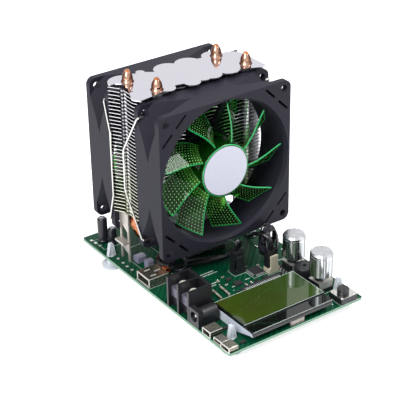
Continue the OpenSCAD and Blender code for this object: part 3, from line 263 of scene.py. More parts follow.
# the middle of each outlined part, its width and its depth
outlined = [(23.5, -23.4, 9.6, 7.4), (6.5, -12.4, 9.6, 7.4), (15, -19.2, 10.6, 10.6),
            (-38.2, 64.2, 12.4, 13.6), (-34, 28.6, 9, 18), (34.4, -31, 13.4, 12),
            (34.4, -56.2, 13.4, 12), (38, -71.8, 12.8, 12.6), (-39.4, 10, 15.4, 14.6),
            (2.9, 31.3, 45, 46)]
bm = bmesh.new()
for x, y, w, d in outlined:
    outline(bm, x, y, w, d)
# the left end of each row, its length, and a third of the most dashes in it
rows = [(-21, -16.6, 9, 3), (-19.5, -14.4, 12, 3), (-6.5, -24.4, 5, 2), (-16.5, -5, 14, 4),
        (-14.5, -2.8, 10, 3), (4.6, -22.5, 4, 2), (31, -17, 8, 2), (40, 20, 6, 2), (40, 24, 5, 2),
        (-30, 50, 10, 3), (20, 74, 20, 3), (-5, 74, 16, 3), (44, -45, 5, 1)]
for x, y, w, n in rows:
    start = x
    for k in range(n * 3):
        length = 0.45 + 0.35 * ((k * 7 + n) % 4)
        if start + length > x + w:
            break
        dash(bm, start + length / 2, y, length, 0.7)
        start += length + 0.35
into_piece(bm, "printed_marks", white_ink, "base")


# Pads and joints: rings of copper left free of the mask and wetted with solder. Below the board
# each lead ends in a cone of it, where the wave of solder let go.

# Solder freezes bright: a wet, pale grey shine, duller in patches of 0.7 mm.
bright_solder, tree = blank("tin_lead_solder")
where = add(tree, "ShaderNodeTexCoord")
dull = add(tree, "ShaderNodeTexNoise", {"Scale": patches(0.714), "Detail": 2},
           {"Vector": where.outputs["Object"]})
rough = add(tree, "ShaderNodeMapRange", {"To Min": 0.16, "To Max": 0.4}, {0: dull.outputs[0]})
relief = add(tree, "ShaderNodeBump", {"Strength": 0.2, "Distance": 0.05 * MM},
             {"Height": dull.outputs[0]})
shader = add(tree, "ShaderNodeBsdfPrincipled", {"Base Color": linear("#eceff0"), "Metallic": 0.55},
             {"Roughness": rough.outputs[0], "Normal": relief.outputs[0]})
add(tree, "ShaderNodeOutputMaterial", {}, {0: shader.outputs[0]})


def joint(bm, x, y, d, h, under=False):
    ring = bmesh.ops.create_circle(bm, cap_ends=True, segments=12, radius=d / 2 * MM)["verts"]
    face = ring[0].link_faces[0]
    slope = bmesh.ops.inset_region(bm, faces=[face], thickness=d * 0.13 * MM)["faces"]
    up = -1 if under else 1
    bmesh.ops.translate(bm, verts=face.verts, vec=(0, 0, up * h * 0.7 * MM))
    bmesh.ops.inset_region(bm, faces=[face], thickness=d * 0.15 * MM)
    bmesh.ops.translate(bm, verts=face.verts, vec=(0, 0, up * h * 0.3 * MM))
    everything = list({v for f in slope + [face] for v in f.verts} | set(ring))
    level = board_bottom if under else board_top
    bmesh.ops.translate(bm, verts=everything, vec=(x * MM, y * MM, level * MM))


board_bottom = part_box("circuit_board")[0].z / MM
# the domed joints along the left edge, and the flat plated holes with their diameters
domes = [(-45.4, 71.4), (-44.9, 67.2), (-44.4, 62.6), (-43.7, 42.8), (-43.8, 36.8), (-44.1, 31.8),
         (-43.8, 26.7)]
holes = [(-8, -28, 0.9), (-11, -18, 0.9), (-22, -12, 0.9), (-5, -35.6, 1), (0, -36.5, 1),
         (-24.6, -35.4, 1.2), (-28.4, -35.4, 1.2), (12, -34, 0.9), (18, -37, 0.9), (29, -20, 1),
         (30, -12, 1), (43.6, -20, 1.2), (43.6, -8, 1.2), (-30, -6, 0.9), (-26, -10, 0.9)]
bm = bmesh.new()
for x, y in domes:
    joint(bm, x, y, 2.0, 0.35)
for x, y, d in holes:
    joint(bm, x, y, d, 0.15)
into_piece(bm, "tinned_pads", bright_solder, "base", 60)
# under the rotary controls, the fan headers, the terminal, the sockets, the board's chokes and
# shunts, the capacitors, the display, the buzzer and the push button
bm = bmesh.new()
under = [(34.4 - 8, y + k, 1.8) for y in (-31, -56.2) for k in (-2.5, 0, 2.5)]
under += [(x + k, y, 1.9) for x, y in ((23.5, -23.5), (6.5, -12.5)) for k in (-2.54, 0, 2.54)]
under += [(-40, -33.7, 3.2), (-40, -23.4, 3.2), (-36, -33.7, 2.6), (-36, -23.4, 2.6)]
under += [(-39, -44.4, 3), (-33.5, -44.4, 3), (-41, 5, 2.4), (-41, 15, 2.4)]
under += [(-35.5 + k * 2.5, 10 - k, 1.6) for k in range(3)]
under += [(-18.7, -22.2, 2.6), (-19.5, -30.9, 2.6), (-12.7, -21.1, 2.6), (-13.5, -31, 2.6)]
under += [(-41.1, 66.5, 1.6), (-38.5, 66.5, 1.6), (-37.2, 61.3, 1.5), (-34.8, 61.3, 1.5)]
under += [(15.4 - 1.27 * k, -39.3, 0.95) for k in range(20)]
under += [(30, -42.5, 1.8), (36.4, -42.5, 1.8), (33, -76, 1.6), (43, -76, 1.6), (33, -67.8, 1.6),
          (43, -67.8, 1.6), (-1.4, -75, 1.5), (3.4, -75, 1.5)]
for x, y, d in under:
    joint(bm, x, y, d, 1.1, under=True)
bmesh.ops.recalc_face_normals(bm, faces=bm.faces)
into_piece(bm, "solder_cones_below", bright_solder, "base", 60)


# Stand-offs: natural nylon, each moulded in one piece with a round foot, and pressed through the
# board from below until the barbs of its split head snap out.

# Unfilled nylon is a cloudy, bluish white that lets light in, with flow marks 2 mm apart.
natural_nylon, tree = blank("natural_nylon")
where = add(tree, "ShaderNodeTexCoord")
flow = add(tree, "ShaderNodeTexNoise", {"Scale": patches(2), "Detail": 2},
           {"Vector": where.outputs["Object"]})
tone = add(tree, "ShaderNodeMix", {"data_type": "RGBA", 6: linear("#e0e8f0"), 7: linear("#f4f7fc")},
           {0: flow.outputs[0]})
relief = add(tree, "ShaderNodeBump", {"Strength": 0.1, "Distance": 0.1 * MM},
             {"Height": flow.outputs[0]})
shader = add(tree, "ShaderNodeBsdfPrincipled",
             {"Roughness": 0.32, "Transmission Weight": 0.25, "IOR": 1.53,
              "Subsurface Weight": 0.2, "Subsurface Radius": (MM, MM, MM)},
             {"Base Color": tone.outputs[2], "Normal": relief.outputs[0]})
add(tree, "ShaderNodeOutputMaterial", {}, {0: shader.outputs[0]})
dress("board_standoffs", natural_nylon, 0.12)


# Chips and power transistors: black epoxy moulded round tinned leads, soldered flat to the board.
# The main chip has a dimple beside its first lead.

# Filled epoxy is charcoal and matt. Its grit is drawn 0.25 mm coarse, so that it shows.
black_epoxy, tree = blank("black_epoxy_moulding")
where = add(tree, "ShaderNodeTexCoord")
grit = add(tree, "ShaderNodeTexNoise", {"Scale": patches(0.25), "Detail": 2},
           {"Vector": where.outputs["Object"]})
tone = add(tree, "ShaderNodeMix", {"data_type": "RGBA", 6: linear("#1e1d1f"), 7: linear("#39373b")},
           {0: grit.outputs[0]})
relief = add(tree, "ShaderNodeBump", {"Strength": 0.25, "Distance": 0.03 * MM},
             {"Height": grit.outputs[0]})
shader = add(tree, "ShaderNodeBsdfPrincipled", {"Roughness": 0.55},
             {"Base Color": tone.outputs[2], "Normal": relief.outputs[0]})
add(tree, "ShaderNodeOutputMaterial", {}, {0: shader.outputs[0]})
for node in ("main_chip", "surface_mount_parts", "power_transistors"):
    dress(node, black_epoxy, 0.06)
# Tin on drawn brass is bright and silvery, with rougher streaks every 0.7 mm.
tinned, tree = blank("bright_tinned_brass")
where = add(tree, "ShaderNodeTexCoord")
drawn = add(tree, "ShaderNodeTexNoise", {"Scale": patches(0.667), "Detail": 2},
            {"Vector": where.outputs["Object"]})
rough = add(tree, "ShaderNodeMapRange", {"To Min": 0.14, "To Max": 0.32}, {0: drawn.outputs[0]})
shader = add(tree, "ShaderNodeBsdfPrincipled", {"Base Color": linear("#ececee"), "Metallic": 0.6},
             {"Roughness": rough.outputs[0]})
add(tree, "ShaderNodeOutputMaterial", {}, {0: shader.outputs[0]})
for node in ("chip_leads", "display_pins", "potentiometer_pins", "header_pins", "power_jack_pin"):
    dress(node, tinned)


# Current shunts: two strips of resistance alloy, cut, bent to a bridge and soldered by both ends.
# All of the load's current passes through them.

# The alloy is a pinkish copper, and its tinned bends flash white, in patches of 2 mm.
shunt_strip, tree = blank("manganin_resistance_strip")
where = add(tree, "ShaderNodeTexCoord")
drawn = add(tree, "ShaderNodeTexNoise", {"Scale": patches(2), "Detail": 3},
            {"Vector": where.outputs["Object"]})
patchy = add(tree, "ShaderNodeMapRange", {"From Min": 0.42, "From Max": 0.6}, {0: drawn.outputs[0]})
tone = add(tree, "ShaderNodeMix", {"data_type": "RGBA", 6: linear("#c6a596"), 7: linear("#fff8f2")},
           {0: patchy.outputs[0]})
shader = add(tree, "ShaderNodeBsdfPrincipled", {"Metallic": 0.5, "Roughness": 0.2},
             {"Base Color": tone.outputs[2]})
add(tree, "ShaderNodeOutputMaterial", {}, {0: shader.outputs[0]})
dress("current_shunts", shunt_strip)


# Resistors and ceramic capacitors: small fired bodies between two tinned ends. A machine sets them
# on paste, which melts in an oven and holds them.

# Fired ceramic is an opaque tan, half glossy, with grains of 0.3 mm.
tan_ceramic, tree = blank("fired_ceramic")
where = add(tree, "ShaderNodeTexCoord")
grit = add(tree, "ShaderNodeTexNoise", {"Scale": patches(0.333), "Detail": 2},
           {"Vector": where.outputs["Object"]})
tone = add(tree, "ShaderNodeMix", {"data_type": "RGBA", 6: linear("#7a5f45"), 7: linear("#96795a")},
           {0: grit.outputs[0]})
shader = add(tree, "ShaderNodeBsdfPrincipled", {"Roughness": 0.45}, {"Base Color": tone.outputs[2]})
add(tree, "ShaderNodeOutputMaterial", {}, {0: shader.outputs[0]})
# the middle of each part, and its turn in degrees
chips_at = [(-9.6, -35.2, 0), (-3, -35.8, 0), (1.6, -27.4, 90), (5.4, -27.4, 90), (11, -32.6, 0),
            (18.6, -31, 90), (28.4, -29.6, 90), (-23.6, -25, 90), (-16.4, -36.2, 0), (-8, -20.6, 0),
            (-5, -12.6, 0), (-9.4, -14.4, 90), (20.4, -14, 0), (29.4, -24, 90), (13, -11.4, 0),
            (-22.6, -33.6, 0), (43.6, -26, 90), (43.4, -33, 90), (27.6, -67, 90), (28.2, -73.4, 90),
            (-37.6, -38.6, 0), (-24, 4, 0), (-27, 8, 90), (33, 4, 90), (36, 60, 0), (28, 64, 90)]
end_out = 0.72  # from the middle of a part to the middle of its ends


def ease(bm, width, segments):
    bmesh.ops.bevel(bm, geom=list(bm.edges), offset=width * MM, segments=segments, profile=0.5,
                    affect="EDGES", material=-1)


bodies, ends = bmesh.new(), bmesh.new()
for x, y, turn in chips_at:
    dash(bodies, x, y, 1.1, 1.0, turn, t=0.6)
    for s in (-1, 1):
        dx = s * end_out * math.cos(math.radians(turn))
        dy = s * end_out * math.sin(math.radians(turn))
        dash(ends, x + dx, y + dy, 0.36, 1.04, turn, t=0.62)
for bm in (bodies, ends):
    ease(bm, 0.08, 1)
into_piece(bodies, "chip_part_bodies", tan_ceramic, "base")
into_piece(ends, "chip_part_ends", bright_solder, "base")


# Quartz crystal: a thin blank in a can of drawn steel, welded shut round its foot and soldered to
# the board by its two leads.

# Drawn steel is a warm grey, half bright, with cloudy marks of 1.1 mm.
crystal_can, tree = blank("drawn_steel_can")
where = add(tree, "ShaderNodeTexCoord")
drawn = add(tree, "ShaderNodeTexNoise", {"Scale": patches(1.11), "Detail": 2},
            {"Vector": where.outputs["Object"]})
tone = add(tree, "ShaderNodeMix", {"data_type": "RGBA", 6: linear("#837d78"), 7: linear("#a19b95")},
           {0: drawn.outputs[0]})
shader = add(tree, "ShaderNodeBsdfPrincipled", {"Roughness": 0.32, "Metallic": 0.8},
             {"Base Color": tone.outputs[2]})
add(tree, "ShaderNodeOutputMaterial", {}, {0: shader.outputs[0]})
dress("quartz_crystal", crystal_can, 0.1)


# Chokes: each a coil buried in iron powder and pressed to a block with softly broken edges,
# soldered by two tabs under it.

# Pressed powder under lacquer is a lavender grey with grains of 0.4 mm.
iron_powder, tree = blank("pressed_iron_powder")
where = add(tree, "ShaderNodeTexCoord")
grit = add(tree, "ShaderNodeTexNoise", {"Scale": patches(0.4), "Detail": 4},
           {"Vector": where.outputs["Object"]})
tone = add(tree, "ShaderNodeMix", {"data_type": "RGBA", 6: linear("#7c7c92"), 7: linear("#9a9ab0")},
           {0: grit.outputs[0]})
relief = add(tree, "ShaderNodeBump", {"Strength": 0.3, "Distance": 0.04 * MM},
             {"Height": grit.outputs[0]})
shader = add(tree, "ShaderNodeBsdfPrincipled", {"Roughness": 0.42},
             {"Base Color": tone.outputs[2], "Normal": relief.outputs[0]})
add(tree, "ShaderNodeOutputMaterial", {}, {0: shader.outputs[0]})
dress("power_chokes", iron_powder, 0.4)


# Electrolytic capacitors: aluminium cans in a shrunk dark sleeve, standing on two leads. The bare
# top is scored with a cross, where it would give way.

# Shrunk film is near black and glossy, and ripples every 1.7 mm over the can.
shrunk_sleeve, tree = blank("shrunk_dark_sleeve")
where = add(tree, "ShaderNodeTexCoord")
ripple = add(tree, "ShaderNodeTexNoise", {"Scale": patches(1.667), "Detail": 1},
             {"Vector": where.outputs["Object"]})
relief = add(tree, "ShaderNodeBump", {"Strength": 0.15, "Distance": 0.1 * MM},
             {"Height": ripple.outputs[0]})
tone = add(tree, "ShaderNodeMix", {"data_type": "RGBA", 6: linear("#1c1c22"), 7: linear("#2b2b33")},
           {0: ripple.outputs[0]})
shader = add(tree, "ShaderNodeBsdfPrincipled", {"Roughness": 0.24},
             {"Base Color": tone.outputs[2], "Normal": relief.outputs[0]})
add(tree, "ShaderNodeOutputMaterial", {}, {0: shader.outputs[0]})
dress("electrolytic_capacitors", shrunk_sleeve)
# Bare spun aluminium is pale and satin, with smoother patches of 0.55 mm.
can_metal, tree = blank("spun_bare_aluminium")
where = add(tree, "ShaderNodeTexCoord")
spun = add(tree, "ShaderNodeTexNoise", {"Scale": patches(0.556), "Detail": 3},
           {"Vector": where.outputs["Object"]})
rough = add(tree, "ShaderNodeMapRange", {"To Min": 0.2, "To Max": 0.38}, {0: spun.outputs[0]})
shader = add(tree, "ShaderNodeBsdfPrincipled", {"Base Color": linear("#c9cbd2"), "Metallic": 1.0},
             {"Roughness": rough.outputs[0]})
add(tree, "ShaderNodeOutputMaterial", {}, {0: shader.outputs[0]})
# the middle of each top, its level under the sleeve's rolled lip, and its radius
bare_tops = [(-39.8, 66.5, 23.72, 2.3), (-36, 61.3, 17.72, 1.8)]
bm = bmesh.new()
for x, y, level, r in bare_tops:
    disc = bmesh.ops.create_circle(bm, cap_ends=True, segments=32, radius=r * MM)["verts"]
    bmesh.ops.translate(bm, verts=disc, vec=(x * MM, y * MM, level * MM))
    for turn in (0, 90):
        dash(bm, x, y, 1.6 * r, 0.25, turn, z=level, t=0.08)
into_piece(bm, "capacitor_tops", can_metal, "base")


# Screw terminal, power socket, buzzer and other moulded bodies: dark nylon filled with glass, shot
# round their pins and soldered through the board. The terminal has two plated clamps and screws.

# Filled nylon is near black and a little shiny, mottled every 0.6 mm by its glass.
dark_nylon, tree = blank("dark_filled_nylon")
where = add(tree, "ShaderNodeTexCoord")
skin = add(tree, "ShaderNodeTexNoise", {"Scale": patches(0.625), "Detail": 3},
           {"Vector": where.outputs["Object"]})
tone = add(tree, "ShaderNodeMix", {"data_type": "RGBA", 6: linear("#131316"), 7: linear("#222227")},
           {0: skin.outputs[0]})
relief = add(tree, "ShaderNodeBump", {"Strength": 0.15, "Distance": 0.05 * MM},
             {"Height": skin.outputs[0]})
shader = add(tree, "ShaderNodeBsdfPrincipled", {"Roughness": 0.36},
             {"Base Color": tone.outputs[2], "Normal": relief.outputs[0]})
add(tree, "ShaderNodeOutputMaterial", {}, {0: shader.outputs[0]})
for node in ("terminal_housing", "power_jack_housing", "potentiometer_bases", "buzzer",
             "button_base", "button_cap", "small_socket_tongues", "fan_plugs"):
    dress(node, dark_nylon, 0.15)


# Wire clips, base screws and the push button's cover: spring wire, turned screws and pressed
# sheet, nickelled in a barrel. The clips hook the fans' frames to the fins.

# Bright nickel is a warm mirror, scuffed in patches of 1.1 mm.
nickel, tree = blank("bright_nickel_plate")
where = add(tree, "ShaderNodeTexCoord")
scuffed = add(tree, "ShaderNodeTexNoise", {"Scale": patches(1.11), "Detail": 4},
              {"Vector": where.outputs["Object"]})
rough = add(tree, "ShaderNodeMapRange", {"To Min": 0.1, "To Max": 0.24}, {0: scuffed.outputs[0]})
shader = add(tree, "ShaderNodeBsdfPrincipled", {"Base Color": linear("#dcdad6"), "Metallic": 1.0},
             {"Roughness": rough.outputs[0]})
add(tree, "ShaderNodeOutputMaterial", {}, {0: shader.outputs[0]})
for node in ("base_screws", "button_cover", "fan_clips"):
    dress(node, nickel)


# The terminal's screws are turned and plated with zinc. Each draws a folded, tinned plate down on
# the wire.

# Zinc plate is creamy and nearly white where the lamps catch it.
screw_zinc, tree = blank("zinc_plated_screw")
where = add(tree, "ShaderNodeTexCoord")
scuffed = add(tree, "ShaderNodeTexNoise", {"Scale": patches(0.769), "Detail": 3},
              {"Vector": where.outputs["Object"]})
tone = add(tree, "ShaderNodeMix", {"data_type": "RGBA", 6: linear("#e6e1d2"), 7: linear("#fbf9f2")},
           {0: scuffed.outputs[0]})
shader = add(tree, "ShaderNodeBsdfPrincipled", {"Roughness": 0.22, "Metallic": 0.45},
             {"Base Color": tone.outputs[2]})
add(tree, "ShaderNodeOutputMaterial", {}, {0: shader.outputs[0]})
dress("terminal_screws", screw_zinc)
# Handled tin has lost its shine: a purplish mid grey, blotched every 0.9 mm.
dull_plate, tree = blank("dull_tinned_clamp")
where = add(tree, "ShaderNodeTexCoord")
scuffed = add(tree, "ShaderNodeTexNoise", {"Scale": patches(0.909), "Detail": 3},
              {"Vector": where.outputs["Object"]})
tone = add(tree, "ShaderNodeMix", {"data_type": "RGBA", 6: linear("#4d4b58"), 7: linear("#7a7888")},
           {0: scuffed.outputs[0]})
shader = add(tree, "ShaderNodeBsdfPrincipled", {"Roughness": 0.4, "Metallic": 0.6},
             {"Base Color": tone.outputs[2]})
add(tree, "ShaderNodeOutputMaterial", {}, {0: shader.outputs[0]})
dress("terminal_plates", dull_plate)


# USB sockets: shells folded from nickelled sheet round a dark tongue with the contacts, and
# soldered down by their tabs. The large one has windows in its top, each with a sprung tongue.

# Worn nickel is shiny but stained, from olive grey to straw, in blotches of 0.9 mm.
worn_nickel, tree = blank("worn_nickel_sheet")
where = add(tree, "ShaderNodeTexCoord")
scuffed = add(tree, "ShaderNodeTexNoise", {"Scale": patches(0.909), "Detail": 5},
              {"Vector": where.outputs["Object"]})
tone = add(tree, "ShaderNodeMix", {"data_type": "RGBA", 6: linear("#5f5c50"), 7: linear("#a8a496")},
           {0: scuffed.outputs[0]})
rough = add(tree, "ShaderNodeMapRange", {"To Min": 0.16, "To Max": 0.34}, {0: scuffed.outputs[0]})
shader = add(tree, "ShaderNodeBsdfPrincipled", {"Metallic": 0.8},
             {"Base Color": tone.outputs[2], "Roughness": rough.outputs[0]})
add(tree, "ShaderNodeOutputMaterial", {}, {0: shader.outputs[0]})
for node in ("usb_a_shell", "mini_usb_shell", "micro_usb_shell", "type_c_shell"):
    dress(node, worn_nickel, 0.08)
# Where the sheet is rolled over, a thin, nearly white line is painted as the highlight along the
# edge.
pale_nickel_and_painted_highlight, tree = blank("pale_nickel_and_painted_edge_highlight")
where = add(tree, "ShaderNodeTexCoord")
scuffed = add(tree, "ShaderNodeTexNoise", {"Scale": patches(0.625), "Detail": 3},
              {"Vector": where.outputs["Object"]})
tone = add(tree, "ShaderNodeMix", {"data_type": "RGBA", 6: linear("#d9d5c9"), 7: linear("#f4f2ec")},
           {0: scuffed.outputs[0]})
shader = add(tree, "ShaderNodeBsdfPrincipled", {"Metallic": 0.3, "Roughness": 0.25},
             {"Base Color": tone.outputs[2]})
add(tree, "ShaderNodeOutputMaterial", {}, {0: shader.outputs[0]})
# Each mouth has such a painted highlight round it, and each near top edge another along its fold.
# The numbers are a shell's mouth and back in x, its two sides in y, its top in z, and its lip's
# width.
shells = [(-46.6, -33, 3.4, 16.6, 12.7, 0.7), (-48.1, -39.6, -60.2, -52.6, 11, 0.5),
          (-47.6, -42.2, -69.9, -62.7, 9.8, 0.45), (-48.1, -41.8, -77.8, -70, 10.3, 0.5)]
lip_depth, shell_foot = 0.5, 7.1
bm = bmesh.new()
for mouth, back, near, far, top, lip in shells:
    lip_x, middle = mouth + 0.2, (near + far) / 2
    dash(bm, lip_x, middle, lip_depth, far - near, z=top - lip + 0.06, t=lip)
    dash(bm, lip_x, middle, lip_depth, far - near, z=shell_foot - 0.05, t=lip * 0.8)
    for y in (near + lip / 2 - 0.06, far - lip / 2 + 0.06):
        dash(bm, lip_x, y, lip_depth, lip, z=shell_foot, t=top - shell_foot)
    dash(bm, (mouth + back) / 2, near + 0.16, back - mouth, 0.4, z=top - 0.3, t=0.38)
ease(bm, 0.09, 2)
into_piece(bm, "socket_lip_highlights", pale_nickel_and_painted_highlight, "base", 60)
dress("usb_a_tongue", dark_nylon, 0.1)
usb_a_top = 12.7
windows, springs = bmesh.new(), bmesh.new()
for x, y in [(-41, 6.6), (-41, 13.4), (-36, 10)]:
    dash(windows, x, y, 5.4, 2.7, z=usb_a_top, t=0.04)
    dash(springs, x - 0.5, y, 4, 1.3, z=usb_a_top + 0.02, t=0.12)
into_piece(windows, "usb_a_windows", dark_nylon, "base")
into_piece(springs, "usb_a_springs", pale_nickel_and_painted_highlight, "base")


# Display: a light box of milky acrylic, and on it two panes of glass, the lower one longer, with
# an olive film on the upper one. Tape blacks out the box's front, and clips and pins hold it.

# Milky acrylic is a pale lavender that lets light in, with haze in patches of 3.3 mm.
milky, tree = blank("milky_lavender_acrylic")
where = add(tree, "ShaderNodeTexCoord")
haze = add(tree, "ShaderNodeTexNoise", {"Scale": patches(3.33), "Detail": 2},
           {"Vector": where.outputs["Object"]})
tone = add(tree, "ShaderNodeMix", {"data_type": "RGBA", 6: linear("#cdd5e6"), 7: linear("#edf2fb")},
           {0: haze.outputs[0]})
# the front of the light box is blacked out with tape
facing = add(tree, "ShaderNodeNewGeometry")
turned = add(tree, "ShaderNodeSeparateXYZ", {}, {0: facing.outputs["True Normal"]})
taped = add(tree, "ShaderNodeMath", {"operation": "LESS_THAN", 1: -0.2}, {0: turned.outputs[1]})
tone = add(tree, "ShaderNodeMix", {"data_type": "RGBA", 7: linear("#14171a")},
           {0: taped.outputs[0], 6: tone.outputs[2]})
shader = add(tree, "ShaderNodeBsdfPrincipled",
             {"Roughness": 0.25, "Subsurface Weight": 0.15, "Subsurface Radius": (MM, MM, MM)},
             {"Base Color": tone.outputs[2]})
add(tree, "ShaderNodeOutputMaterial", {}, {0: shader.outputs[0]})
dress("display_backlight", milky, 0.2)
# Glass gives sharp reflections over the flat olive of the film, which clouds over 25 mm.
olive_glass, tree = blank("glass_over_olive_film")
where = add(tree, "ShaderNodeTexCoord")
film = add(tree, "ShaderNodeTexNoise", {"Scale": patches(25), "Detail": 2},
           {"Vector": where.outputs["Object"]})
place = add(tree, "ShaderNodeSeparateXYZ", {}, {0: where.outputs["Object"]})
# the film turns from olive at its left end to green at its right; bare glass shows black in
# front of it, and a strip at its left is painted black as the shade along the glass edge
film_left, film_right, film_front, strip_right = -32, 25, -69.2, -31.1
rightward = add(tree, "ShaderNodeMapRange",
                {"From Min": film_left * MM, "From Max": film_right * MM},
                {0: place.outputs[0]})
tone = add(tree, "ShaderNodeMix", {"data_type": "RGBA", 6: linear("#384012"), 7: linear("#2f4a1c")},
           {0: rightward.outputs[0]})
tone = add(tree, "ShaderNodeMix", {"data_type": "RGBA", "blend_type": "OVERLAY", 0: 0.3},
           {6: tone.outputs[2], 7: film.outputs[1]})
ledge = add(tree, "ShaderNodeMath", {"operation": "LESS_THAN", 1: film_front * MM},
            {0: place.outputs[1]})
painted_edge_shade = add(tree, "ShaderNodeMath", {"operation": "LESS_THAN", 1: strip_right * MM},
                {0: place.outputs[0]})
bare_glass_and_edge_shade = add(tree, "ShaderNodeMath", {"operation": "MAXIMUM"},
           {0: ledge.outputs[0], 1: painted_edge_shade.outputs[0]})
tone = add(tree, "ShaderNodeMix", {"data_type": "RGBA", 7: linear("#101311")},
           {0: bare_glass_and_edge_shade.outputs[0], 6: tone.outputs[2]})
shader = add(tree, "ShaderNodeBsdfPrincipled",
             {"Roughness": 0.03, "Coat Weight": 0.2, "Coat Roughness": 0.02},
             {"Base Color": tone.outputs[2]})
add(tree, "ShaderNodeOutputMaterial", {}, {0: shader.outputs[0]})
dress("display_glass", olive_glass, 0.1)
# A ground edge of glass is a thin, frosted line of pale green; these lines are partly that colour
# and partly a painted highlight along the edges.
ground_edge_and_highlight, tree = blank("ground_glass_edge_and_painted_highlight")
where = add(tree, "ShaderNodeTexCoord")
chips = add(tree, "ShaderNodeTexNoise", {"Scale": patches(0.667), "Detail": 2},
            {"Vector": where.outputs["Object"]})
tone = add(tree, "ShaderNodeMix", {"data_type": "RGBA", 6: linear("#9fb5a8"), 7: linear("#dbe8e0")},
           {0: chips.outputs[0]})
shader = add(tree, "ShaderNodeBsdfPrincipled", {"Roughness": 0.25}, {"Base Color": tone.outputs[2]})
add(tree, "ShaderNodeOutputMaterial", {}, {0: shader.outputs[0]})
# two stretches of the upper pane's far edge, its right and front edges, and the lower one's front
edge_lines = [(-20.9, -41.62, 22, 0.3, 14.75, 0.27), (20.7, -41.62, 8.4, 0.3, 14.75, 0.27),
              (24.98, -55.7, 0.3, 28, 14.75, 0.27), (-3.5, -69.78, 56.8, 0.2, 14.75, 0.27),
              (-3.5, -77.78, 56.8, 0.2, 13.9, 0.22)]
bm = bmesh.new()
for x, y, w, d, level, t in edge_lines:
    dash(bm, x, y, w, d, z=level, t=t)
into_piece(bm, "display_glass_edges", ground_edge_and_highlight, "base")


# The display's leads: 20 sprung clips of tinned strip grip the far edge of its glass, run down
# through a black bead, partly resin and partly painted shadow, and are soldered to the board.
first_lead, lead_pitch, glass_top = 15.35, 1.27, 15
clips, resin_and_shadow_bead, feet = bmesh.new(), bmesh.new(), bmesh.new()
for k in range(20):
    x = first_lead - lead_pitch * k
    dash(clips, x, -41.1, 0.56, 2, z=glass_top, t=0.18)
    dash(clips, x, -40.2, 0.56, 0.24, z=glass_top - 2, t=2.18)
    dash(feet, x, -39.1, 0.6, 1.2, t=0.4)
# the black bead behind the clips: partly resin, partly painted shadow
dash(resin_and_shadow_bead, 3.3, -39.4, 27.4, 4, z=12.6, t=2.2)
ease(clips, 0.06, 1)
ease(resin_and_shadow_bead, 0.6, 4)
ease(feet, 0.12, 2)
into_piece(feet, "display_pin_solder", bright_solder, "base", 60)
into_piece(clips, "display_edge_clips", bright_solder, "base", 60)
into_piece(resin_and_shadow_bead, "display_lead_resin_and_shadow", black_epoxy, "base", 60)


# Rotary controls: potentiometers with zinc shafts, in cases of tinplate folded over a black wafer
# and soldered by three pins. The knobs are turned from bright aluminium bar and pressed on.

# Cast zinc is a soft mid grey with a dull shine.
zinc, tree = blank("die_cast_zinc")
where = add(tree, "ShaderNodeTexCoord")
skin = add(tree, "ShaderNodeTexNoise", {"Scale": patches(0.833), "Detail": 3},
           {"Vector": where.outputs["Object"]})
rough = add(tree, "ShaderNodeMapRange", {"To Min": 0.32, "To Max": 0.5}, {0: skin.outputs[0]})
shader = add(tree, "ShaderNodeBsdfPrincipled", {"Base Color": linear("#a3a5aa"), "Metallic": 0.9},
             {"Roughness": rough.outputs[0]})
add(tree, "ShaderNodeOutputMaterial", {}, {0: shader.outputs[0]})
for node in ("coarse_shaft", "fine_shaft"):
    dress(node, zinc)
# Tinplate is a warm, pale metal with a soft shine.
folded_steel, tree = blank("folded_tinplate_over_phenolic")
where = add(tree, "ShaderNodeTexCoord")
facing = add(tree, "ShaderNodeNewGeometry")
skin = add(tree, "ShaderNodeTexNoise", {"Scale": patches(0.667), "Detail": 3},
           {"Vector": where.outputs["Object"]})
tone = add(tree, "ShaderNodeMix", {"data_type": "RGBA", 6: linear("#b3b1a9"), 7: linear("#e3e2dd")},
           {0: skin.outputs[0]})
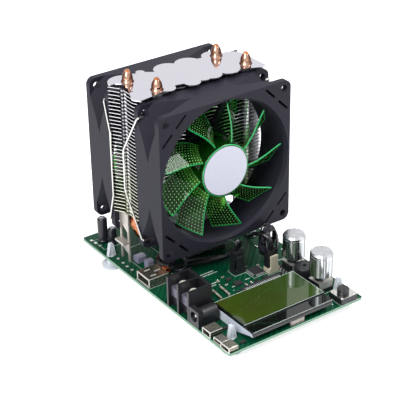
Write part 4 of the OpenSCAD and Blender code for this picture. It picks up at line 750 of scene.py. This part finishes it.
# the side with the pins is the black wafer of the resistor
turned = add(tree, "ShaderNodeSeparateXYZ", {}, {0: facing.outputs["True Normal"]})
wafer = add(tree, "ShaderNodeMath", {"operation": "LESS_THAN", 1: -0.3}, {0: turned.outputs[0]})
tone = add(tree, "ShaderNodeMix", {"data_type": "RGBA", 7: linear("#141415")},
           {0: wafer.outputs[0], 6: tone.outputs[2]})
sheet_metal = add(tree, "ShaderNodeMapRange", {"To Min": 0.6, "To Max": 0.0}, {0: wafer.outputs[0]})
shader = add(tree, "ShaderNodeBsdfPrincipled", {"Roughness": 0.3},
             {"Base Color": tone.outputs[2], "Metallic": sheet_metal.outputs[0]})
add(tree, "ShaderNodeOutputMaterial", {}, {0: shader.outputs[0]})
dress("potentiometer_cases", folded_steel, 0.2)
knob_x = 34.4
for name, knob_y in (("coarse", -31.0), ("fine", -56.2)):
    # Painted reflections: bright and dark spokes of light, fanning out from the middle of the top
    # and running down the side, are painted into the colour, and the top is painted lighter.
    turned_metal, tree = blank("turned_aluminium_" + name)
    where = add(tree, "ShaderNodeTexCoord")
    centred = add(tree, "ShaderNodeMapping", {"Location": (-knob_x * MM, -knob_y * MM, 0)},
                  {"Vector": where.outputs["Object"]})
    # the tool's marks, as rings on the top and down the side, drawn far coarser than they are
    rings = add(tree, "ShaderNodeTexWave",
                {"wave_type": "RINGS", "rings_direction": "Z", "Scale": bands(0.4909),
                 "Distortion": 0.6, "Detail": 1}, {"Vector": centred.outputs[0]})
    fine_marks = add(tree, "ShaderNodeTexWave",
                     {"bands_direction": "Z", "Scale": bands(0.2618), "Distortion": 0.4},
                     {"Vector": centred.outputs[0]})
    both = add(tree, "ShaderNodeMath", {"operation": "MULTIPLY"},
               {0: rings.outputs[0], 1: fine_marks.outputs[0]})
    rough = add(tree, "ShaderNodeMapRange", {"To Min": 0.18, "To Max": 0.3}, {0: both.outputs[0]})
    relief = add(tree, "ShaderNodeBump", {"Strength": 0.12, "Distance": 0.02 * MM},
                 {"Height": rings.outputs[0]})
    # painted reflection streaks, light and dark, up the side and out from the middle of the top
    spoke = add(tree, "ShaderNodeVectorMath", {"operation": "MULTIPLY", 1: (1, 1, 0)},
                {0: centred.outputs[0]})
    spoke = add(tree, "ShaderNodeVectorMath", {"operation": "NORMALIZE"}, {0: spoke.outputs[0]})
    painted_reflection_streaks = add(tree, "ShaderNodeTexNoise", {"Scale": 4.2, "Detail": 4, "Roughness": 0.7},
                  {"Vector": spoke.outputs[0]})
    facing = add(tree, "ShaderNodeNewGeometry")
    turned = add(tree, "ShaderNodeSeparateXYZ", {}, {0: facing.outputs["True Normal"]})
    contrast = add(tree, "ShaderNodeMapRange", {"From Min": 0.4, "From Max": 0.62},
                   {0: painted_reflection_streaks.outputs[0]})
    side = add(tree, "ShaderNodeMix",
               {"data_type": "RGBA", 6: linear("#55595b"), 7: linear("#dfe2e4")},
               {0: contrast.outputs[0]})
    cap = add(tree, "ShaderNodeMix",
              {"data_type": "RGBA", 6: linear("#c3c4c8"), 7: linear("#dddee2")},
              {0: contrast.outputs[0]})
    on_top = add(tree, "ShaderNodeMath", {"operation": "GREATER_THAN", 1: 0.6},
                 {0: turned.outputs[2]})
    tone = add(tree, "ShaderNodeMix", {"data_type": "RGBA"},
               {0: on_top.outputs[0], 6: side.outputs[2], 7: cap.outputs[2]})
    shader = add(tree, "ShaderNodeBsdfPrincipled", {"Metallic": 1.0, "Anisotropic": 0.5},
                 {"Base Color": tone.outputs[2], "Roughness": rough.outputs[0],
                  "Normal": relief.outputs[0]})
    add(tree, "ShaderNodeOutputMaterial", {}, {0: shader.outputs[0]})
    dress(name + "_knob", turned_metal)


# Cooler: a milled aluminium block, screwed down on the transistors, and two pipes of drawn copper,
# bent to a U, soldered into it and pressed up through the fins.

# A milling cutter leaves a satin grey with straight, wavering marks 0.63 mm apart.
milled, tree = blank("milled_aluminium")
where = add(tree, "ShaderNodeTexCoord")
cuts = add(tree, "ShaderNodeTexWave",
           {"bands_direction": "X", "Scale": bands(0.6283), "Distortion": 1.5},
           {"Vector": where.outputs["Object"]})
rough = add(tree, "ShaderNodeMapRange", {"To Min": 0.28, "To Max": 0.42}, {0: cuts.outputs[0]})
shader = add(tree, "ShaderNodeBsdfPrincipled", {"Base Color": linear("#c2c5ca"), "Metallic": 1.0},
             {"Roughness": rough.outputs[0]})
add(tree, "ShaderNodeOutputMaterial", {}, {0: shader.outputs[0]})
dress("cooler_base", milled, 0.25)
# Drawn copper is a bright orange pink, with a brown bloom in patches of 6 mm.
copper, tree = blank("drawn_copper")
where = add(tree, "ShaderNodeTexCoord")
bloom = add(tree, "ShaderNodeTexNoise", {"Scale": patches(6.25), "Detail": 3},
            {"Vector": where.outputs["Object"]})
tone = add(tree, "ShaderNodeMix", {"data_type": "RGBA", 6: linear("#b26843"), 7: linear("#d99a74")},
           {0: bloom.outputs[0]})
rough = add(tree, "ShaderNodeMapRange", {"To Min": 0.16, "To Max": 0.34}, {0: bloom.outputs[0]})
shader = add(tree, "ShaderNodeBsdfPrincipled", {"Metallic": 1.0},
             {"Base Color": tone.outputs[2], "Roughness": rough.outputs[0]})
add(tree, "ShaderNodeOutputMaterial", {}, {0: shader.outputs[0]})
for node in ("front_heat_pipe", "rear_heat_pipe"):
    dress(node, copper)


# Pipe tips: where each pipe was filled, jaws crimped its end and a wheel spun it shut, which leaves
# a collar and a point. The line runs from the point down to the top fin.
tip_foot = 122
tip_line = [(0, 8), (0.55, 7.92), (0.95, 7.6), (1.35, 7.05), (2.05, 6.2), (2.65, 5.2),
            (3.05, 4.1), (3.25, 3), (3.3, 2.2), (3.2, 1.95), (3.3, 1.7), (3.6, 1.2),
            (3.9, 0.8), (3.9, 0.2)]
bm = bmesh.new()
for x, y in [(-31.9, 41.3), (-24.9, 21.3), (30.7, 41.3), (37.7, 21.3)]:
    line = [bm.verts.new(((x + r) * MM, y * MM, (tip_foot + h) * MM)) for r, h in tip_line]
    line += [bm.edges.new(pair) for pair in zip(line, line[1:])]
    bmesh.ops.spin(bm, geom=line, cent=(x * MM, y * MM, 0), axis=(0, 0, 1), dvec=(0, 0, 0),
                   angle=math.tau, steps=40, use_merge=True)
bmesh.ops.remove_doubles(bm, verts=bm.verts, dist=0.01 * MM)
bmesh.ops.recalc_face_normals(bm, faces=bm.faces)
# Spun copper is mirror bright, with faint rings 0.35 mm apart.
spun_copper, tree = blank("spun_copper")
where = add(tree, "ShaderNodeTexCoord")
rings = add(tree, "ShaderNodeTexWave",
            {"bands_direction": "Z", "Scale": bands(0.3491), "Distortion": 0.8},
            {"Vector": where.outputs["Object"]})
# painted highlight and shade: two opposite sides, facing along (0.82, -0.57), are painted dark
# brown as shaded, and the faces between them pale as lit
facing = add(tree, "ShaderNodeNewGeometry")
painted_side_shade = add(tree, "ShaderNodeVectorMath", {"operation": "DOT_PRODUCT", 1: (0.82, -0.57, 0)},
              {0: facing.outputs["True Normal"]})
painted_side_shade = add(tree, "ShaderNodeMath", {"operation": "ABSOLUTE"}, {0: painted_side_shade.outputs["Value"]})
painted_side_shade = add(tree, "ShaderNodeMapRange", {"From Min": 0.2, "From Max": 0.75},
              {0: painted_side_shade.outputs[0]})
body = add(tree, "ShaderNodeMix", {"data_type": "RGBA", 6: linear("#dcb096"), 7: linear("#5c2c1a")},
           {0: painted_side_shade.outputs[0]})
tone = add(tree, "ShaderNodeMix", {"data_type": "RGBA", "blend_type": "MULTIPLY", 0: 0.25},
           {6: body.outputs[2], 7: rings.outputs[0]})
shader = add(tree, "ShaderNodeBsdfPrincipled", {"Metallic": 1.0, "Roughness": 0.08},
             {"Base Color": tone.outputs[2]})
add(tree, "ShaderNodeOutputMaterial", {}, {0: shader.outputs[0]})
into_piece(bm, "pipe_tips", spun_copper, "base", 50)


# Fins: 36 sheets of rolled aluminium with wavy edges and folded tabs that space them, pressed one
# by one over the pipes. A polished one closes the stack.
fins, first_fin, fin_pitch = 36, 40, 2.3
stack_middle, tab_reach = 35.35, 3.1
# Rolled sheet is bright but not a mirror, with dull patches of 4 mm.
fin_metal, tree = blank("rolled_aluminium_sheet")
where = add(tree, "ShaderNodeTexCoord")
rolled = add(tree, "ShaderNodeTexNoise", {"Scale": patches(4), "Detail": 3},
             {"Vector": where.outputs["Object"]})
rough = add(tree, "ShaderNodeMapRange", {"To Min": 0.2, "To Max": 0.36}, {0: rolled.outputs[0]})
# painted highlight and shade: a fin's edge is painted bright, and its level face in the gap to the
# next one painted dim, as in shade
facing = add(tree, "ShaderNodeNewGeometry")
turned = add(tree, "ShaderNodeSeparateXYZ", {}, {0: facing.outputs["True Normal"]})
level_face = add(tree, "ShaderNodeMath", {"operation": "ABSOLUTE"}, {0: turned.outputs[2]})
level_face = add(tree, "ShaderNodeMath", {"operation": "GREATER_THAN", 1: 0.7},
                 {0: level_face.outputs[0]})
# the folded tabs stand in two staggered columns, one to a fin, with painted shade between them
place = add(tree, "ShaderNodeSeparateXYZ", {}, {0: where.outputs["Object"]})
off_middle = add(tree, "ShaderNodeMath", {"operation": "SUBTRACT", 1: stack_middle * MM},
                 {0: place.outputs[1]})
rear_column = add(tree, "ShaderNodeMath", {"operation": "GREATER_THAN", 1: 0},
                  {0: off_middle.outputs[0]})
distance = add(tree, "ShaderNodeMath", {"operation": "ABSOLUTE"}, {0: off_middle.outputs[0]})
on_tabs = add(tree, "ShaderNodeMath", {"operation": "LESS_THAN", 1: tab_reach * MM},
              {0: distance.outputs[0]})
rise = add(tree, "ShaderNodeMath",
           {"operation": "MULTIPLY_ADD", 1: 1 / (fin_pitch * MM), 2: -first_fin / fin_pitch},
           {0: place.outputs[2]})
rise = add(tree, "ShaderNodeMath", {"operation": "MULTIPLY_ADD", 1: 0.5},
           {0: rear_column.outputs[0], 2: rise.outputs[0]})
rise = add(tree, "ShaderNodeMath", {"operation": "FRACT"}, {0: rise.outputs[0]})
painted_tab_shade = add(tree, "ShaderNodeMath", {"operation": "GREATER_THAN", 1: 0.45}, {0: rise.outputs[0]})
painted_tab_shade = add(tree, "ShaderNodeMath", {"operation": "MULTIPLY"},
             {0: painted_tab_shade.outputs[0], 1: on_tabs.outputs[0]})
painted_shade = add(tree, "ShaderNodeMath", {"operation": "MAXIMUM"},
          {0: level_face.outputs[0], 1: painted_tab_shade.outputs[0]})
# painted reflection: low down the faces are painted with the green of the board
painted_board_reflection = add(tree, "ShaderNodeMapRange", {"From Min": 85 * MM, "From Max": 45 * MM},
            {0: place.outputs[2]})
bright = add(tree, "ShaderNodeMix",
             {"data_type": "RGBA", 6: linear("#dfdfe3"), 7: linear("#e6e9d2")},
             {0: painted_board_reflection.outputs[0]})
painted_shade_tone = add(tree, "ShaderNodeMix", {"data_type": "RGBA", 6: linear("#4a4a50"), 7: linear("#8b9078")},
           {0: painted_board_reflection.outputs[0]})
# painted shade: level faces and the shaded tab bands take the dim tone, the rest the bright one
tone = add(tree, "ShaderNodeMix", {"data_type": "RGBA"},
           {0: painted_shade.outputs[0], 6: bright.outputs[2], 7: painted_shade_tone.outputs[2]})
shader = add(tree, "ShaderNodeBsdfPrincipled", {"Metallic": 0.8},
             {"Base Color": tone.outputs[2], "Roughness": rough.outputs[0]})
add(tree, "ShaderNodeOutputMaterial", {}, {0: shader.outputs[0]})
dress("fin_stack", fin_metal)
# A press tool cuts the ends clean: they are pale and nearly flat in tone.
sheared, tree = blank("bright_sheared_fin_end")
where = add(tree, "ShaderNodeTexCoord")
rolled = add(tree, "ShaderNodeTexNoise", {"Scale": patches(4), "Detail": 3},
             {"Vector": where.outputs["Object"]})
tone = add(tree, "ShaderNodeMix", {"data_type": "RGBA", 6: linear("#bdbcc0"), 7: linear("#dededf")},
           {0: rolled.outputs[0]})
shader = add(tree, "ShaderNodeBsdfPrincipled", {"Metallic": 0.35, "Roughness": 0.35},
             {"Base Color": tone.outputs[2]})
add(tree, "ShaderNodeOutputMaterial", {}, {0: shader.outputs[0]})
# the fins' front right corners, pressed down a little in a curve
corner_line = [(40.2, 18.2, 0), (43.5, 17.9, 0), (46, 18.4, -0.3), (47.6, 19.8, -0.9),
               (48.4, 22, -1.3), (48.6, 25, -1.5), (48.5, 29, -1.2), (46.6, 32, -0.4),
               (44.3, 32.6, 0), (41.6, 27, 0), (40.2, 22, 0)]
corner_foot, corner_t = 0.02, 0.58
bm = bmesh.new()
for k in range(fins):
    level = first_fin + fin_pitch * k + corner_foot
    corner = bm.faces.new([bm.verts.new((x * MM, y * MM, (level + z) * MM))
                           for x, y, z in corner_line])
    raised = bmesh.ops.extrude_face_region(bm, geom=[corner])["geom"]
    bmesh.ops.translate(bm, verts=[v for v in raised if isinstance(v, bmesh.types.BMVert)],
                        vec=(0, 0, corner_t * MM))
bmesh.ops.recalc_face_normals(bm, faces=bm.faces)
into_piece(bm, "fin_right_corners", sheared, "base", 60)
# Polished sheet mirrors the white room, a little blurred in patches of 8 mm.
polished, tree = blank("polished_aluminium_sheet")
where = add(tree, "ShaderNodeTexCoord")
rolled = add(tree, "ShaderNodeTexNoise", {"Scale": patches(8.33), "Detail": 3},
             {"Vector": where.outputs["Object"]})
rough = add(tree, "ShaderNodeMapRange", {"To Min": 0.07, "To Max": 0.12}, {0: rolled.outputs[0]})
shader = add(tree, "ShaderNodeBsdfPrincipled", {"Base Color": linear("#d8d7e0"), "Metallic": 1.0},
             {"Roughness": rough.outputs[0]})
add(tree, "ShaderNodeOutputMaterial", {}, {0: shader.outputs[0]})
dress("top_fin", polished)


# Side brackets: steel strip, pierced, folded twice and nickelled satin. They stand on the board
# beside the base and steady the stack.

# Satin nickel on steel is warm and soft, with faint clouds of 2.5 mm.
satin_steel, tree = blank("satin_steel_strip")
where = add(tree, "ShaderNodeTexCoord")
rolled = add(tree, "ShaderNodeTexNoise", {"Scale": patches(2.5), "Detail": 3},
             {"Vector": where.outputs["Object"]})
tone = add(tree, "ShaderNodeMix", {"data_type": "RGBA", 6: linear("#b3ada3"), 7: linear("#dcd7cd")},
           {0: rolled.outputs[0]})
shader = add(tree, "ShaderNodeBsdfPrincipled", {"Metallic": 0.5, "Roughness": 0.32},
             {"Base Color": tone.outputs[2]})
add(tree, "ShaderNodeOutputMaterial", {}, {0: shader.outputs[0]})
dress("mounting_brackets", satin_steel)


# Fan frames: dark filled nylon, each moulded in one shot with its duct, hollowed sides and the
# struts that carry the motor. Wire clips hook into their corner holes.

# The spark-eroded mould gives the black plastic a grain of 0.4 mm, which softens its gloss.
frame_dark, tree = blank("moulded_fan_frame")
where = add(tree, "ShaderNodeTexCoord")
spark = add(tree, "ShaderNodeTexNoise", {"Scale": patches(0.4), "Detail": 3},
            {"Vector": where.outputs["Object"]})
tone = add(tree, "ShaderNodeMix", {"data_type": "RGBA", 6: linear("#201f28"), 7: linear("#2b2a35")},
           {0: spark.outputs[0]})
relief = add(tree, "ShaderNodeBump", {"Strength": 0.3, "Distance": 0.05 * MM},
             {"Height": spark.outputs[0]})
shader = add(tree, "ShaderNodeBsdfPrincipled", {"Roughness": 0.48, "Specular IOR Level": 0.14},
             {"Base Color": tone.outputs[2], "Normal": relief.outputs[0]})
add(tree, "ShaderNodeOutputMaterial", {}, {0: shader.outputs[0]})
for node in ("front_fan_frame", "rear_fan_frame"):
    dress(node, frame_dark)


# Rotors: clear green polycarbonate moulded in one shot, nine swept blades on a deep cup, pressed on
# a steel shaft. Each blade has a grid of tiny raised dots, about 2 mm apart.
dots_on_blade = (9, 13)  # dots from edge to edge, and from the cup to the tip
# Clear plastic is smooth and deep green, darker where two blades cross, and its dots scatter
# light. Its IOR is set low, because a thin sheet bends light less than a block.
green_clear, tree = blank("clear_green_polycarbonate")
sheet = add(tree, "ShaderNodeUVMap")
sheet.uv_map = "blade"
lattice = add(tree, "ShaderNodeVectorMath", {"operation": "MULTIPLY", 1: (*dots_on_blade, 0)},
              {0: sheet.outputs[0]})
cell = add(tree, "ShaderNodeVectorMath", {"operation": "FRACTION"}, {0: lattice.outputs[0]})
middle = add(tree, "ShaderNodeVectorMath", {"operation": "SUBTRACT", 1: (0.5, 0.5, 0)},
             {0: cell.outputs[0]})
away = add(tree, "ShaderNodeVectorMath", {"operation": "LENGTH"}, {0: middle.outputs[0]})
dots = add(tree, "ShaderNodeMapRange",
           {"From Min": 0.12, "From Max": 0.2, "To Min": 1, "To Max": 0},
           {0: away.outputs["Value"]})
rim = add(tree, "ShaderNodeVectorMath", {"operation": "SUBTRACT", 1: (0.5, 0.5, 0)},
          {0: sheet.outputs[0]})
rim = add(tree, "ShaderNodeVectorMath", {"operation": "ABSOLUTE"}, {0: rim.outputs[0]})
sides = add(tree, "ShaderNodeSeparateXYZ", {}, {0: rim.outputs[0]})
widest = add(tree, "ShaderNodeMath", {"operation": "MAXIMUM"},
             {0: sides.outputs[0], 1: sides.outputs[1]})
lit = add(tree, "ShaderNodeMapRange", {"From Min": 0.474, "From Max": 0.486},
          {0: widest.outputs[0]})
marked = add(tree, "ShaderNodeMath", {"operation": "MAXIMUM"},
             {0: lit.outputs[0], 1: dots.outputs[0]})
# painted glow: near the hub the plastic is painted a paler, yellower green and made less clear
along = add(tree, "ShaderNodeSeparateXYZ", {}, {0: sheet.outputs[0]})
painted_hub_glow = add(tree, "ShaderNodeMapRange",
           {"From Min": 0.0, "From Max": 0.35, "To Min": 1, "To Max": 0},
           {0: along.outputs[1]})
body = add(tree, "ShaderNodeMix", {"data_type": "RGBA", 6: linear("#33902a"), 7: linear("#7cc653")},
           {0: painted_hub_glow.outputs[0]})
tone = add(tree, "ShaderNodeMix", {"data_type": "RGBA", 7: linear("#a9d39a")},
           {0: dots.outputs[0], 6: body.outputs[2]})
tone = add(tree, "ShaderNodeMix", {"data_type": "RGBA", 7: linear("#22b862")},
           {0: lit.outputs[0], 6: tone.outputs[2]})
cloud = add(tree, "ShaderNodeMath", {"operation": "MULTIPLY_ADD", 1: 0.3},
            {0: painted_hub_glow.outputs[0], 2: marked.outputs[0]})
clear = add(tree, "ShaderNodeMapRange", {"To Min": 0.93, "To Max": 0.1}, {0: cloud.outputs[0]})
relief = add(tree, "ShaderNodeBump", {"Strength": 0.6, "Distance": 0.1 * MM},
             {"Height": dots.outputs[0]})
shader = add(tree, "ShaderNodeBsdfPrincipled", {"Roughness": 0.05, "IOR": 1.3},
             {"Base Color": tone.outputs[2], "Transmission Weight": clear.outputs[0],
              "Normal": relief.outputs[0]})
add(tree, "ShaderNodeOutputMaterial", {}, {0: shader.outputs[0]})
# Light that enters the faces leaves at the edges, which look lit: a brighter, bluer green.
green_edge, tree = blank("light_gathering_green_edge")
where = add(tree, "ShaderNodeTexCoord")
waver = add(tree, "ShaderNodeTexNoise", {"Scale": patches(3.33), "Detail": 2},
            {"Vector": where.outputs["Object"]})
tone = add(tree, "ShaderNodeMix", {"data_type": "RGBA", 6: linear("#1aa455"), 7: linear("#45d682")},
           {0: waver.outputs[0]})
shader = add(tree, "ShaderNodeBsdfPrincipled", {"Roughness": 0.2, "Transmission Weight": 0.15},
             {"Base Color": tone.outputs[2]})
add(tree, "ShaderNodeOutputMaterial", {}, {0: shader.outputs[0]})
blades, sheet_t, root_r, blade_run = 9, 0.7, 16.4, 25.0
plate_front = 1.5  # the cup's face, behind the rotor's own origin
cup_line = [(0, plate_front), (15.7, 1.5), (16.3, 1.8), (16.7, 2.6), (17, 5), (17, 18.5),
            (15.4, 18.5), (15.4, 3.5), (3.5, 3.5), (3.5, 5.9), (1.55, 5.9), (1.55, 2.3), (0, 2.3)]
plain_spot = [(n // 2) / n for n in dots_on_blade]  # a place on the grid between the dots
for end in ("front", "rear"):
    bm = bmesh.new()
    bm.loops.layers.uv.new("blade")
    bmesh.ops.create_grid(bm, x_segments=12, y_segments=16, size=1, calc_uvs=True)
    # s runs from the leading edge to the trailing one, and t from the cup to the tip
    for v in bm.verts:
        s, t = (v.co.x + 1) / 2, (v.co.y + 1) / 2
        reach = root_r + blade_run * t
        turn = math.radians(17 * (1 - t) ** 1.3 - 6.4 + (25 - 5 * t) * s)
        depth = 3.1 - 0.8 * t + (12 - 2 * t) * (s + 0.35 * s * (1 - s))
        v.co = Vector((reach * math.cos(turn), depth, -reach * math.sin(turn))) * MM
    bmesh.ops.recalc_face_normals(bm, faces=bm.faces)
    bmesh.ops.solidify(bm, geom=list(bm.faces), thickness=sheet_t * MM)
    # the faces round the rim, which have two sides as long as the sheet is thick
    for f in bm.faces:
        lengths = [e.calc_length() / MM for e in f.edges]
        thick = [length for length in lengths if abs(length - sheet_t) < 0.06]
        if f.normal.length and f.calc_area() and min(lengths) < 0.75 and len(thick) >= 2:
            f.material_index = 1
    bmesh.ops.spin(bm, geom=bm.verts[:] + bm.edges[:] + bm.faces[:], cent=(0, 0, 0),
                   axis=(0, 1, 0), dvec=(0, 0, 0), angle=math.tau * (blades - 1) / blades,
                   steps=blades - 1, use_duplicate=True)
    cup = bmesh.new()
    plain = cup.loops.layers.uv.new("blade")
    line = [cup.verts.new((r * MM, h * MM, 0)) for r, h in cup_line]
    line += [cup.edges.new(pair) for pair in zip(line, line[1:])]
    bmesh.ops.spin(cup, geom=line, cent=(0, 0, 0), axis=(0, 1, 0), dvec=(0, 0, 0),
                   angle=math.tau, steps=72, use_merge=True)
    bmesh.ops.remove_doubles(cup, verts=cup.verts, dist=0.01 * MM)
    bmesh.ops.recalc_face_normals(cup, faces=cup.faces)
    # the cup is plain, but for a lit ring round the label
    for f in cup.faces:
        middle = f.calc_center_median() / MM
        ring = 15.6 < math.hypot(middle.x, middle.z) < 16.2 and middle.y < 3
        f.material_index = 1 if ring else 0
        for corner in f.loops:
            corner[plain].uv = plain_spot
    scrap = bpy.data.meshes.new("scrap")
    cup.to_mesh(scrap)
    cup.free()
    bm.from_mesh(scrap)
    bpy.data.meshes.remove(scrap)
    # the back of the label lies on the cup's face
    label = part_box(end + "_fan_label")
    centre = (label[0] + label[1]) / 2
    centre.y = label[1].y - plate_front * MM
    bmesh.ops.translate(bm, verts=bm.verts, vec=centre)
    rotor = into_piece(bm, end + "_green_rotor", green_clear, end + "_rotor", 50)
    rotor.data.materials.append(green_edge)
    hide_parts(end + "_fan_rotor")


# Hub labels: a disc of pearl foil, punched out and stuck on each cup. Behind it sit the motor's
# turned shaft, and the stator that the frame carries.

# Pearl foil is a pale lilac with an even, silky shimmer of 1.1 mm.
label_foil, tree = blank("pearl_label_foil")
where = add(tree, "ShaderNodeTexCoord")
shimmer = add(tree, "ShaderNodeTexNoise", {"Scale": patches(1.11), "Detail": 2},
              {"Vector": where.outputs["Object"]})
tone = add(tree, "ShaderNodeMix", {"data_type": "RGBA", 6: linear("#cfd1df"), 7: linear("#dadbe7")},
           {0: shimmer.outputs[0]})
shader = add(tree, "ShaderNodeBsdfPrincipled", {"Roughness": 0.4}, {"Base Color": tone.outputs[2]})
add(tree, "ShaderNodeOutputMaterial", {}, {0: shader.outputs[0]})
for node in ("front_fan_label", "rear_fan_label"):
    dress(node, label_foil)
for node in ("front_fan_shaft", "rear_fan_shaft", "front_fan_stator", "rear_fan_stator"):
    dress(node, zinc)


# Fan leads and their headers: headers of nylon moulded round square pins, and leads of stranded
# wire in soft sleeving, from the frame's foot to a plug that is pushed on.

# Ivory nylon is opaque and a little shiny.
ivory_nylon, tree = blank("ivory_nylon")
where = add(tree, "ShaderNodeTexCoord")
skin = add(tree, "ShaderNodeTexNoise", {"Scale": patches(0.667), "Detail": 3},
           {"Vector": where.outputs["Object"]})
tone = add(tree, "ShaderNodeMix", {"data_type": "RGBA", 6: linear("#d2c9ae"), 7: linear("#e6dec6")},
           {0: skin.outputs[0]})
# the front fan's header, left of the other one, is drawn near black
between_headers = 15
place = add(tree, "ShaderNodeSeparateXYZ", {}, {0: where.outputs["Object"]})
black_one = add(tree, "ShaderNodeMath", {"operation": "LESS_THAN", 1: between_headers * MM},
                {0: place.outputs[0]})
tone = add(tree, "ShaderNodeMix", {"data_type": "RGBA", 7: linear("#1b1f21")},
           {0: black_one.outputs[0], 6: tone.outputs[2]})
shader = add(tree, "ShaderNodeBsdfPrincipled", {"Roughness": 0.4}, {"Base Color": tone.outputs[2]})
add(tree, "ShaderNodeOutputMaterial", {}, {0: shader.outputs[0]})
dress("fan_headers", ivory_nylon, 0.1)
# Soft sleeving is a deep black with a smooth sheen.
soft_black, tree = blank("soft_black_sleeving")
where = add(tree, "ShaderNodeTexCoord")
skin = add(tree, "ShaderNodeTexNoise", {"Scale": patches(1.11), "Detail": 2},
           {"Vector": where.outputs["Object"]})
tone = add(tree, "ShaderNodeMix", {"data_type": "RGBA", 6: linear("#0e0e10"), 7: linear("#1c1c20")},
           {0: skin.outputs[0]})
shader = add(tree, "ShaderNodeBsdfPrincipled", {"Roughness": 0.2}, {"Base Color": tone.outputs[2]})
add(tree, "ShaderNodeOutputMaterial", {}, {0: shader.outputs[0]})
for node in ("front_fan_lead", "rear_fan_lead"):
    dress(node, soft_black)
# Thin insulation is glossy, with violet grey glints painted on it in patches of 3.8 mm.
glossy_wire, tree = blank("glossy_wire_insulation")
where = add(tree, "ShaderNodeTexCoord")
skin = add(tree, "ShaderNodeTexNoise", {"Scale": patches(3.85), "Detail": 3},
           {"Vector": where.outputs["Object"]})
painted_glints = add(tree, "ShaderNodeMapRange", {"From Min": 0.5, "From Max": 0.68}, {0: skin.outputs[0]})
tone = add(tree, "ShaderNodeMix", {"data_type": "RGBA", 6: linear("#0f0f12"), 7: linear("#4b4759")},
           {0: painted_glints.outputs[0]})
shader = add(tree, "ShaderNodeBsdfPrincipled", {"Roughness": 0.16}, {"Base Color": tone.outputs[2]})
add(tree, "ShaderNodeOutputMaterial", {}, {0: shader.outputs[0]})


# the angles of so many steps to a turn, first and last included
def turn_angles(steps, turns=1):
    return [math.tau * j / steps for j in range(steps * turns + 1)]


# a tube of the diameter d along the points, both in millimetres, closed at its ends; no operator
# sweeps a ring along a path, so its rings are joined here
def wire(bm, points, d, sides=8):
    points = [Vector(q) * MM for q in points]
    rings = []
    for k, spot in enumerate(points):
        run = (points[min(k + 1, len(points) - 1)] - points[max(k - 1, 0)]).normalized()
        out = run.cross(Vector((0.3, 0.2, 1))).normalized()
        flank = run.cross(out)
        rings.append([bm.verts.new(spot + (out * math.cos(a) + flank * math.sin(a)) * d / 2 * MM)
                      for a in turn_angles(sides)[:-1]])
    for a, b in zip(rings, rings[1:]):
        for j in range(sides):
            bm.faces.new((a[j], a[(j + 1) % sides], b[(j + 1) % sides], b[j]))
    bm.faces.new(rings[0][::-1])
    bm.faces.new(rings[-1])


# Spare turns: each lead is longer than its way, so its thin wires are folded up in loops and tied,
# the rear fan's beside its header and the front fan's behind the front fan.
spare_d = 1.3
bm = bmesh.new()
for k in range(7):
    # the loops differ in width, height, lean and depth, and none is flat
    wide, tall = 4.2 + 0.35 * (k % 3), 9.6 + 0.5 * (k % 4)
    lean, depth = 0.5 * (k % 3) - 0.5, -15.6 + 1.15 * k
    wire(bm, [(30 + lean + wide * math.sin(a) + 0.5 * math.sin(3 * a + k),
               depth + 0.5 * math.sin(2 * a + k), 19.6 + tall * math.cos(a))
              for a in turn_angles(40)], spare_d)
# three wires lead from the plug to the loops
for side in (-1, 0, 1):
    wire(bm, [(23.5 + 2.3 * side, -22.5, 20.8), (23.5 + 2.2 * side, -21.6, 23),
              (24.4 + 1.6 * side, -19, 26.2), (26 + side, -16.5, 28.4),
              (28 + side, -14, 29.4)], 1.2)
bmesh.ops.recalc_face_normals(bm, faces=bm.faces)
into_piece(bm, "rear_lead_spare_turns", glossy_wire, "base", 80)
bm = bmesh.new()
for k in range(4):
    spread = 5.2 + 0.4 * (k % 2)
    wire(bm, [(-23.4 + 0.8 * spread * math.sin(a) + 0.4 * k,
               7.4 - 0.55 * spread * math.sin(a) + 1.1 * k, 13.6 + (spread - 0.6) * math.cos(a))
              for a in turn_angles(36)], spare_d)
bmesh.ops.recalc_face_normals(bm, faces=bm.faces)
into_piece(bm, "front_lead_spare_turns", glossy_wire, "base", 80)


# Air-wound coil: four turns of stiff enamelled copper wire, wound on a rod that was drawn out, and
# soldered by both ends beside the large socket.
coil_turns, coil_r, coil_pitch, coil_d = 4, 2.1, 0.95, 0.8
# Enamel over copper is a glassy red brown, paler where it is thin, every 1.4 mm.
enamelled, tree = blank("red_enamelled_copper_wire")
where = add(tree, "ShaderNodeTexCoord")
thick = add(tree, "ShaderNodeTexNoise", {"Scale": patches(1.43), "Detail": 2},
            {"Vector": where.outputs["Object"]})
tone = add(tree, "ShaderNodeMix", {"data_type": "RGBA", 6: linear("#8c3a20"), 7: linear("#c4673e")},
           {0: thick.outputs[0]})
shader = add(tree, "ShaderNodeBsdfPrincipled", {"Metallic": 0.7, "Roughness": 0.2},
             {"Base Color": tone.outputs[2]})
add(tree, "ShaderNodeOutputMaterial", {}, {0: shader.outputs[0]})
bm = bmesh.new()
wire(bm, [(-29.9 + coil_r * math.cos(a), 9.4 + coil_pitch * a / math.tau,
           9.6 + coil_r * math.sin(a)) for a in turn_angles(20, coil_turns)], coil_d, 6)
bmesh.ops.recalc_face_normals(bm, faces=bm.faces)
into_piece(bm, "air_wound_coil", enamelled, "base", 80)
